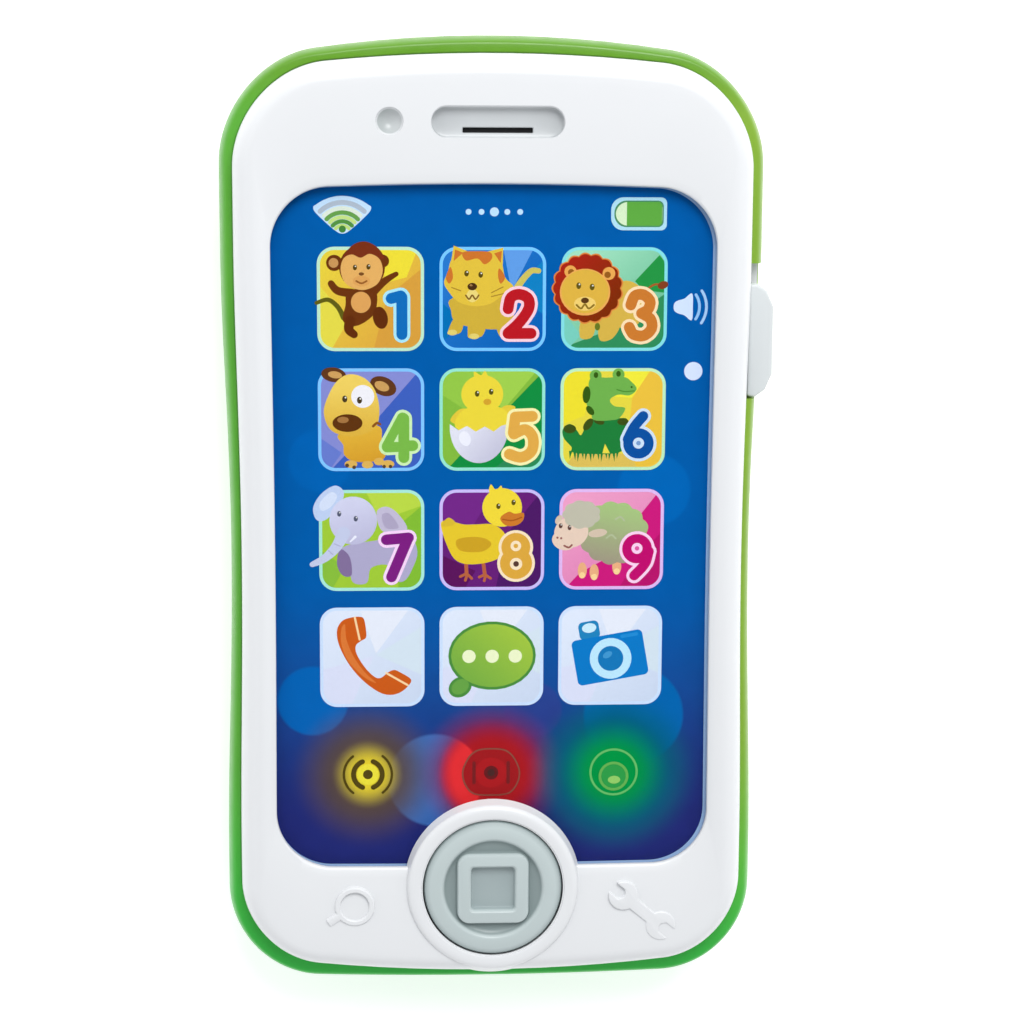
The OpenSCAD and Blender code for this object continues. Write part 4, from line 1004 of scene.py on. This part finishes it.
def handset():
    return plain_pad(
        ((206, 92, 26), [blob((-3.3, 6.5), (-1.9, 6.6), (-1.3, 6.2), (-1, 4.6), (-1, 3.2), (-1.9, 2.6),
            (-2.6, 1.9), (-2.5, 0.6), (-1.3, -1.5), (0.2, -3.1), (1.3, -3.4), (2.5, -2.5), (3.5, -2.1),
            (4.6, -2.6), (6.1, -3.6), (5.9, -4.5), (4.6, -5.7), (2.9, -6.2), (1, -5.7), (-1.4, -3.9),
            (-3.6, -1.3), (-5.2, 1.8), (-5.6, 4.3), (-4.8, 5.9))]),
        ((222, 122, 54), [blob((-4.9, 4.6), (-4.3, 5.4), (-4.1, 3), (-3, 0.2), (-1.2, -2.4), (0.6, -4.2),
            (-1.4, -3.2), (-3.8, -0.6), (-4.9, 2.2))]),
        ((250, 214, 160), stroke([(-2.75, 6.5), (-2, 2.9)], 0.17) + stroke([(2.2, -2.6),
            (5.6, -4.6)], 0.17)))


def bubble():
    green = ((166, 200, 66), (116, 172, 68), (4, 5), (-5, -5))
    return plain_pad(
        ((76, 142, 62), [disc(0.1, 0.1, 7, 5.6), disc(-5, -5, 1.95, 1.6, 35)]),
        ((104, 164, 70), [disc(-5, -4.95, 1.5, 1.15, 35)]), (green, [disc(0.1, 0.1, 6.55, 5.15)]),
        ((240, 246, 200), [disc(x, 0, 1.07) for x in (-3.6, 0.1, 3.8)]))


def snapshot():
    blue = (10, 122, 196)
    body = turned(rounded_rect(0, 0, 5.75, 3.75, 0.8), 0, -0.35, 10)
    bump = turned(rounded_rect(0, 0, 1.65, 1.5, 0.8), -3.4, 4.1, 10)
    return plain_pad(
        ((34, 132, 186), [bump]), ((206, 236, 246), [disc(-3.4, 4.5, 1.15, 0.78, 8)]), (blue, [body]),
        ((34, 140, 208), stroke([(1.9, 3.1), (4.2, 3.5)], 0.28)),
        ((190, 232, 248), [disc(0.1, -0.5, 3.35)]), ((22, 120, 182), [disc(0.1, -0.5, 2.05)]),
        ((66, 152, 204), [disc(-0.4, 0.1, 0.8, 0.5, 30)]))


def signal_mark():
    fan = [(6.3 * c, 5.9 * s - 3.1) for c, s in sweep(0, 0, 1, 39, 141, 17)]
    outer = blob(*fan[1:-1], (-4, 0.1), (-1.4, -2.3), (0, -3), (1.4, -2.3), (4, 0.1))
    return [
        ((196, 224, 246), [outer]), ((176, 188, 200), arc(0, -3.1, 4.9, 46, 134, 0.38)),
        ((222, 232, 214), arc(0, -3.1, 4, 46, 134, 0.34)),
        ((104, 160, 76), arc(0, -3.1, 3.35, 44, 136, 0.34)),
        ((196, 222, 130), arc(0, -3.1, 2.65, 44, 136, 0.3)),
        ((84, 146, 64), arc(0, -3.1, 2, 42, 138, 0.32)),
        ((190, 220, 120), arc(0, -3.1, 1.35, 42, 138, 0.28)), ((70, 134, 58), [disc(0, -2.3, 0.55)])]


def cell_case(grow):
    """A battery seen from the side, with a rounder left end."""
    w, h, tight, round_r = 4.35 + grow, 2.55 + grow, 0.9, 1.9
    centres = ((w - tight, h - tight, tight), (round_r - w, h - round_r, round_r),
               (round_r - w, round_r - h, round_r), (w - tight, tight - h, tight))
    return [p for k, spot in enumerate(centres) for p in sweep(*spot, 90 * k, 90 * k + 90, 8)]


def battery_mark():
    return [
        ((176, 222, 236), [cell_case(0)]), ((74, 140, 96), [cell_case(-0.5)]),
        ((216, 238, 196), [cell_case(-0.72)]),
        ((96, 170, 66), [[(-1.9, -1.83), (3.2, -1.83), (3.6, -1.4), (3.6, 1.4), (3.2, 1.83),
            (-1.9, 1.83)]])]


def sound_mark():
    return [
        ((210, 226, 248), [blob((-2.8, 0.5), (-2.2, 1), (-1.2, 1.3), (0, 2.1), (0.15, 0), (0, -2.1),
            (-1.2, -1.3), (-2.2, -1), (-2.8, -0.5))]),
        ((150, 198, 242), arc(-2.2, 0, 3.4, -34, 34, 0.22)),
        ((170, 208, 244), arc(-2.2, 0, 4.5, -34, 34, 0.22))]


def hexagon(grow):
    right = ((1.6, 4.1), (3.2, 3.3), (4.2, 1.8), (4.7, 0.2), (4.4, -1.6), (3.3, -3.2), (1.7, -3.7))
    corners = list(right) + [(-x, y) for x, y in reversed(right)]
    return blob(*[(x * (1 + grow / 4.7), y * (1 + grow / 4.1)) for x, y in corners])


def lamp_marks(kind):
    if kind == 0:
        dark, bright = (84, 70, 22), (240, 226, 62)
        layers = [(bright, [disc(0, 0, 1.75)]), (dark, [disc(0, 0, 0.78)])]
        for r, gap, half in ((2.3, 22, 0.4), (3.85, 38, 0.2)):
            for start in (-90 + gap, 90 + gap):
                layers.append((dark, arc(0, 0, r, start, start + 180 - 2 * gap, half, 14)))
        return layers
    if kind == 1:
        bars = [rounded_rect(s * 2.75, 0.1, 0.28, 1.9, 0.25) for s in (-1, 1)]
        return [((140, 76, 62), [hexagon(0)]), ((162, 28, 32), [hexagon(-0.25)]),
                ((176, 30, 34), [disc(0, 0.1, 2.6, 2.5)]), ((122, 34, 36), bars),
                ((104, 32, 34), [disc(0, 0.1, 1.15)]), ((76, 42, 40), [disc(0, 0.1, 0.6)])]
    return [
        ((104, 190, 104), arc(0, 0, 3.75, 0, 360, 0.18, 48)),
        ((104, 180, 84), arc(0, -0.7, 2.2, 0, 360, 0.22, 36)), ((48, 158, 72), [disc(0, -0.7, 1.95)]),
        ((150, 206, 104), [disc(0.1, -1.3, 1, 0.65)])]


TILES = (monkey, cat, lion, dog, chick, crocodile, elephant, duck, sheep, handset, bubble, snapshot)


def build_artwork():
    for i, draw in enumerate(TILES):
        x, y = ART_X + PITCH * (i % 3 - 1), TILE_Y[i // 3]
        picture("tile_" + draw.__name__, draw(), x, y)
    picture("signal_mark", signal_mark(), -23.5, 49)
    picture("battery_mark", battery_mark(), 22.5, 49.15)
    picture("sound_mark", sound_mark(), 31, 34.7)
    picture("sound_dot", [((216, 228, 250), [disc(0, 0, 1.45)])], 31.4, 24.6)
    dots = [disc(x, 0, 0.45 if x else 0.7) for x in (-4, -2, 0, 2, 4)]
    picture("page_dots", [((190, 224, 250), dots)], 0, 49.4)
    for k in range(3):
        picture(f"lamp_mark_{k + 1}", lamp_marks(k), ART_X + LED_X * (k - 1), LED_Y)
    # painted reflection: a pale band, seen along the right and top edges of the screen, stands in for the
    # light that the opening's lip reflects there
    inside = [(x - 0.3, y - 0.1) for x, y in outline(SCREEN, 0.1)]
    picture("painted_lip_reflection", [((168, 200, 238), [outline(SCREEN, -0.4)]), (None, [inside])])


# ---- materials ----

def film_look():
    """The printed ground of the screen: a blue that darkens downwards and round light spots, with the light
    of the lit lamps painted on around them and made to glow.
    """
    g = Graph("film print")
    high, low = srgb(0, 92, 168), srgb(36, 44, 116)
    colour = g.mix(g.spread(g.axis(1), -0.006, -0.050, smooth=True), high, low)
    spots = ((-28.7, -28.2, 5.6, (0, 104, 184), 0.85), (22.7, -31.0, 8.0, (0, 106, 178), 0.9),
             (25.5, 5.7, 5.8, (0, 104, 184), 0.8), (-27.2, 10.6, 5.0, (0, 100, 180), 0.7),
             (-9.2, -41.5, 7.6, (66, 118, 190), 0.85), (6.5, -30.0, 4.6, (60, 60, 140), 0.4))
    for x, y, r, ink, share in spots:
        colour = g.mix(g.spread(g.distance(x, y), r + 0.25, r - 0.25, 0, share), colour, srgb(*ink))
    near_red = spots[4]
    in_spot = g.spread(g.distance(*near_red[:2]), near_red[2] + 0.2, near_red[2] - 0.2)
    glow = None
    # each lamp: its place, its veil of light and where that fades, its bright heart and where that fades
    lamps = ((-1, (92, 74, 56), 13.0, 5.0, (216, 194, 44), 6.0, 1.2),
             (0, (122, 36, 78), 12.5, 6.5, (158, 24, 30), 9.5, 5.0),
             (1, (0, 96, 118), 14.5, 7.5, (0, 136, 60), 9.5, 3.0))
    # painted light: each lamp's veil and heart are painted into the film's colour, and the hearts also make
    # the film glow
    for k, veil, far, near, ink, reach, core in lamps:
        away = g.distance(ART_X + LED_X * k, LED_Y)
        colour = g.mix(g.spread(away, far, near, 0, 0.9, smooth=True), colour, srgb(*veil))
        heart = g.spread(away, reach, core, 0, 1, smooth=True)
        colour = g.mix(heart, colour, srgb(*ink))
        light = g.mix(heart, (0, 0, 0), srgb(*ink))
        glow = light if glow is None else g.mix(1.0, glow, light, "ADD")
        if k == 0:
            # painted light: the red lamp's light, painted as a red crescent on the spot beside it, also
            # glows
            crescent = g.maths("MULTIPLY", in_spot, g.spread(away, 8.8, 5.8, smooth=True))
            colour = g.mix(crescent, colour, srgb(218, 46, 50))
            glow = g.mix(crescent, glow, srgb(170, 30, 30))
    colour = g.mix(g.clouds(3, 2, 0.0, 0.06), colour, (0, 0, 0))
    return g.set(colour=colour, rough=0.5, specular=0.0, glow=glow, power=0.25)


def printed_look():
    g = Graph("printed ink")
    ink = g.node("ShaderNodeAttribute", attribute_name="ink").outputs["Color"]
    speckle = g.clouds(0.35, 2, 0.0, 0.05)
    return g.set(colour=g.mix(speckle, ink, (0.02, 0.02, 0.02)), rough=0.5, specular=0.0)


def rear_look():
    """Yellow-green plastic, with painted shade: duller green to the left, darker at the top end, a deeper
    green at the bottom end.
    """
    g = Graph("rear plastic")
    # painted shade: only the first green is the plastic's own; the others are painted towards the left
    # side, at the top end and towards the bottom end
    lime, shaded_left_green, crown, shaded_end_green = srgb(128, 168, 50), srgb(90, 170, 54), srgb(92, 148, 22), srgb(42, 182, 62)
    side = g.mix(g.spread(g.axis(0), 0.010, -0.040, smooth=True), lime, shaded_left_green)
    side = g.mix(g.spread(g.axis(1), 0.062, 0.074, smooth=True), side, crown)
    colour = g.mix(g.spread(g.axis(1), -0.030, -0.076, smooth=True), side, shaded_end_green)
    flow = g.clouds(9, 3, 0.0, 0.08)
    return g.plastic(g.mix(flow, colour, srgb(60, 120, 30)), 0.3, 0.4, 0.35, 0.2, 0.004)


def bezel_look():
    """White plastic, with painted shade in the earpiece recess, darker towards its ends, and in the camera
    dimple, strongest on its left.
    """
    g = Graph("bezel plastic")
    # painted shade in the earpiece recess: painted grey, darker towards its ends
    ear_end = EAR_HALF + EAR_R
    off = g.maths("ABSOLUTE", g.maths("SUBTRACT", g.axis(0), EAR_X * MM))
    level = g.maths("ABSOLUTE", g.maths("SUBTRACT", g.axis(1), EAR_Y * MM))
    beside = g.spread(off, (ear_end + 0.2) * MM, (ear_end - 0.2) * MM)
    recess = g.maths("MULTIPLY", beside, g.spread(level, (EAR_R + 0.05) * MM, (EAR_R - 0.15) * MM))
    recess = g.maths("MULTIPLY", recess, g.spread(g.axis(2), (CREST_Z - 0.5) * MM, (CREST_Z - 1) * MM))
    ends = g.mix(g.spread(off, 0.004, 0.0095), srgb(194, 198, 200), srgb(184, 188, 190))
    # painted shade in the camera dimple, strongest on its left side
    dish = g.spread(g.distance(*DIMPLE), 1.95, 1.8)
    dimple = g.maths("MULTIPLY", dish, g.spread(g.axis(0), -0.0144, -0.0172, 0.55, 1))
    colour = g.mix(recess, srgb(224, 226, 228), ends)
    colour = g.mix(dimple, colour, srgb(178, 184, 184))
    flow = g.spread(g.noise(9, 3), 0.35, 0.65, 0.0, 0.02)
    return g.plastic(g.mix(flow, colour, srgb(200, 202, 206)), 0.28, 0.33, 0.4, 0.1, 0.002)


def button_look():
    """Grey plastic, with painted shade on its lower faces: darker in the well of the raised square, darkest
    in the dish around it.
    """
    g = Graph("button grey")
    # painted shade: faces below the button's top are darker, the well inside the square and, darker still,
    # the dish around it
    low = g.spread(g.axis(2), 0.0257, 0.0253)
    floor = g.mix(g.spread(g.distance(0, BUTTON_Y), 5.0, 5.6), srgb(160, 173, 174), srgb(136, 150, 150))
    colour = g.mix(low, srgb(186, 198, 198), floor)
    flow = g.spread(g.noise(9, 3), 0.35, 0.65, 0.0, 0.05)
    return g.plastic(g.mix(flow, colour, srgb(160, 172, 172)), 0.34, 0.4, 0.4, 0.1, 0.003)


def window_look():
    """Clear plastic: it lets the print through, and reflects a little at its surface."""
    g = Graph("window clear")
    g.tree.nodes.remove(g.bsdf)
    clear = g.node("ShaderNodeBsdfTransparent")
    clear.inputs["Color"].default_value = (0.985, 0.99, 1.0, 1.0)
    gloss = g.node("ShaderNodeBsdfGlossy")
    g.feed(gloss.inputs["Roughness"], g.clouds(14, 2, 0.06, 0.1))
    edge = g.node("ShaderNodeLayerWeight")
    edge.inputs["Blend"].default_value = 0.5
    blend = g.node("ShaderNodeMixShader")
    g.feed(blend.inputs[0], g.maths("MULTIPLY_ADD", g.maths("POWER", edge.outputs["Facing"], 4), 0.4, 0.01))
    g.tree.links.new(clear.outputs[0], blend.inputs[1])
    g.tree.links.new(gloss.outputs[0], blend.inputs[2])
    g.tree.links.new(blend.outputs[0], g.out.inputs["Surface"])
    return g


def silicone_look():
    """Milky rubber, a little clearer where its wall is thin."""
    g = Graph("silicone")
    thin = g.spread(g.distance(0, BUTTON_Y), 3.2, 4.4)
    colour = g.mix(thin, srgb(214, 214, 206), srgb(188, 190, 182))
    cloud = g.clouds(2, 2, 0, 0.1)
    return g.set(colour=g.mix(cloud, colour, srgb(170, 172, 166)), rough=0.55)


def lamp_look(name, colour):
    g = Graph(name)
    ring = g.clouds(0.8, 2, 0.0, 0.3)
    return g.set(colour=g.mix(ring, colour, shade(colour, 0.6)), rough=0.15, glow=colour, power=0.6)


def board_look():
    """Green board with faint copper tracks under the mask."""
    g = Graph("board green")
    tracks = g.node("ShaderNodeTexBrick")
    g.feed(tracks.inputs["Vector"], g.place)
    tracks.inputs["Scale"].default_value = 260
    tracks.inputs["Mortar Size"].default_value = 0.03
    tracks.inputs["Color1"].default_value = (*srgb(18, 96, 58), 1)
    tracks.inputs["Color2"].default_value = (*srgb(14, 84, 50), 1)
    tracks.inputs["Mortar"].default_value = (*srgb(52, 132, 84), 1)
    # darker clouds at random over the board
    darker_clouds = g.clouds(4, 3, 0, 0.3)
    return g.set(colour=g.mix(darker_clouds, tracks.outputs["Color"], srgb(10, 70, 44)), rough=0.35)


def cell_look():
    """Cell wrap in two colours, split along the cell, with a pale ring between them."""
    g = Graph("cell wrap")
    along = g.axis(1)
    split = g.spread(along, -0.0135, -0.0134)
    ring = g.maths("MULTIPLY", g.spread(along, -0.0150, -0.0149), g.spread(along, -0.0119, -0.0120))
    colour = g.mix(split, srgb(36, 40, 46), srgb(198, 132, 48))
    colour = g.mix(ring, colour, srgb(222, 222, 214))
    return g.set(colour=colour, rough=g.clouds(3, 2, 0.24, 0.36), coat=0.3)


rear, white, grey = rear_look(), bezel_look(), button_look()
knob_plastic = moulded("knob plastic", srgb(210, 215, 216), 0.35, 0.01)
silicone, printed, film_print = silicone_look(), printed_look(), film_look()

build_rear_shell(rear.mat)
build_door(rear.mat)
build_bezel(white.mat)
build_button(grey.mat)
build_knob(knob_plastic.mat)
build_dome(silicone.mat)
build_film(film_print.mat)
build_artwork()

# CAD nodes that keep their shape: node, material's name, colour, roughness
MOULDINGS = (
    ("led_shroud", "shroud white", (226, 228, 224), 0.5),
    ("controller_blob", "potting black", (24, 24, 26), 0.28),
    ("capacitor", "sleeve blue", (28, 44, 92), 0.35),
    ("resistors", "chip grey", (62, 60, 58), 0.5),
    ("flex_connectors", "connector ivory", (224, 216, 190), 0.5),
    ("flex_cable", "flex amber", (190, 132, 62), 0.35),
    ("slide_switch_actuator", "actuator black", (26, 26, 28), 0.4),
    ("speaker_cone", "cone black", (22, 22, 24), 0.7),
    ("speaker_gasket", "foam grey", (70, 70, 74), 0.9),
    ("earpiece_cloth", "cloth black", (20, 20, 22), 0.9))
METALS = (
    ("crystal", "tinned can", (186, 190, 194), 0.36),
    ("slide_switch_case", "switch metal", (178, 180, 184), 0.35),
    ("speaker_frame", "frame steel", (150, 152, 156), 0.4),
    ("speaker_magnet", "magnet dark", (84, 84, 90), 0.5),
    ("speaker_clamp", "clamp metal", (186, 188, 192), 0.34),
    ("door_screw_insert", "brass", (206, 164, 84), 0.3))
LAMPS = (("led_yellow", "lamp amber", (238, 196, 40)), ("led_red", "lamp ruby", (214, 26, 30)),
         ("led_green", "lamp emerald", (40, 190, 80)))
SHARED = (
    (board_look(), ("touch_board", "main_board")), (cell_look(), ("battery_1", "battery_2", "battery_3")),
    (metal("bright steel", srgb(196, 198, 202), 0.3),
     ("touch_board_screws", "main_board_screws", "speaker_clamp_screws", "door_screw", "housing_screws")),
    (metal("nickel", srgb(202, 200, 192), 0.28), ("battery_contacts", "battery_springs")),
    (moulded("wire red", srgb(196, 28, 34), 0.42), ("speaker_wires", "battery_wires")))

looks = {"screen_window": window_look(), "rear_shell": rear, "battery_door": rear, "front_bezel": white,
         "screen_film": film_print, "home_button": grey, "home_button_dome": silicone,
         "switch_knob": knob_plastic}
looks.update((node, moulded(name, srgb(*colour), rough)) for node, name, colour, rough in MOULDINGS)
looks.update((node, metal(name, srgb(*colour), rough)) for node, name, colour, rough in METALS)
looks.update((node, lamp_look(name, srgb(*colour))) for node, name, colour in LAMPS)
for look, nodes in SHARED:
    looks.update(dict.fromkeys(nodes, look))
for name, look in looks.items():
    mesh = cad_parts[name].data
    mesh.materials.clear()
    mesh.materials.append(look.mat)
    soften(mesh, 30)


# ---- studio ----

def studio_world():
    """A pale sky, brighter at the horizon and darker straight overhead."""
    world = bpy.data.worlds.new("studio")
    scene.world = world
    world.use_nodes = True
    tree = world.node_tree
    back = tree.nodes["Background"]
    coord = tree.nodes.new("ShaderNodeTexCoord")
    parts = tree.nodes.new("ShaderNodeSeparateXYZ")
    ramp = tree.nodes.new("ShaderNodeValToRGB")
    tree.links.new(coord.outputs["Generated"], parts.inputs[0])
    tree.links.new(parts.outputs["Z"], ramp.inputs[0])
    tree.links.new(ramp.outputs["Color"], back.inputs["Color"])
    horizon, zenith = ramp.color_ramp.elements
    horizon.position, horizon.color = 0.0, (1, 1, 1, 1)
    zenith.position, zenith.color = 0.96, (0.12, 0.12, 0.13, 1)
    ramp.color_ramp.elements.new(0.72).color = (0.95, 0.96, 0.98, 1)
    back.inputs["Strength"].default_value = 0.95


def key_light(spot, target, size, power):
    data = bpy.data.lights.new("key", "AREA")
    data.shape = "DISK"
    data.size = size
    data.energy = power
    ob = bpy.data.objects.new("key", data)
    scene.collection.objects.link(ob)
    ob.location = spot
    ob.rotation_euler = (Vector(target) - Vector(spot)).to_track_quat("-Z", "Y").to_euler()


def view_from(spot, aim, lens, roll):
    """Puts the camera at spot, looking at aim, with the top end up and then turned by roll degrees."""
    data = bpy.data.cameras.new("camera")
    data.lens = lens
    data.sensor_width = 36
    data.clip_start = 0.01
    camera = bpy.data.objects.new("camera", data)
    scene.collection.objects.link(camera)
    forward = (aim - spot).normalized()
    level = forward.cross(Vector((0, 1, 0))).normalized()
    right = Matrix.Rotation(math.radians(roll), 3, forward) @ level
    camera.matrix_world = (Matrix.Translation(spot)
                           @ Matrix((right, right.cross(forward), -forward)).transposed().to_4x4())
    scene.camera = camera


def build_floor():
    half = 3000
    corners = [(-half, -half), (half, -half), (half, half), (-half, half)]
    floor = make("floor", (at_z(corners, 0), [(0, 1, 2, 3)]))
    g = Graph("floor")
    mottle = g.mix(g.noise(90), (0.95, 0.95, 0.95), (0.97, 0.97, 0.97))
    g.set(colour=mottle, rough=0.9, glow=(1, 1, 1), power=0.42)
    floor.data.materials.append(g.mat)


studio_world()
key_light(spot=(0.1, 0.5, 0.62), target=(0, 0, 0.02), size=0.45, power=4.1)
scene.view_settings.view_transform = "Standard"
view_from(Vector((-18.5, 66.6, 397.3)) * MM, Vector((2.96, 2.27, 22.0)) * MM, lens=84.8, roll=-0.29)
build_floor()
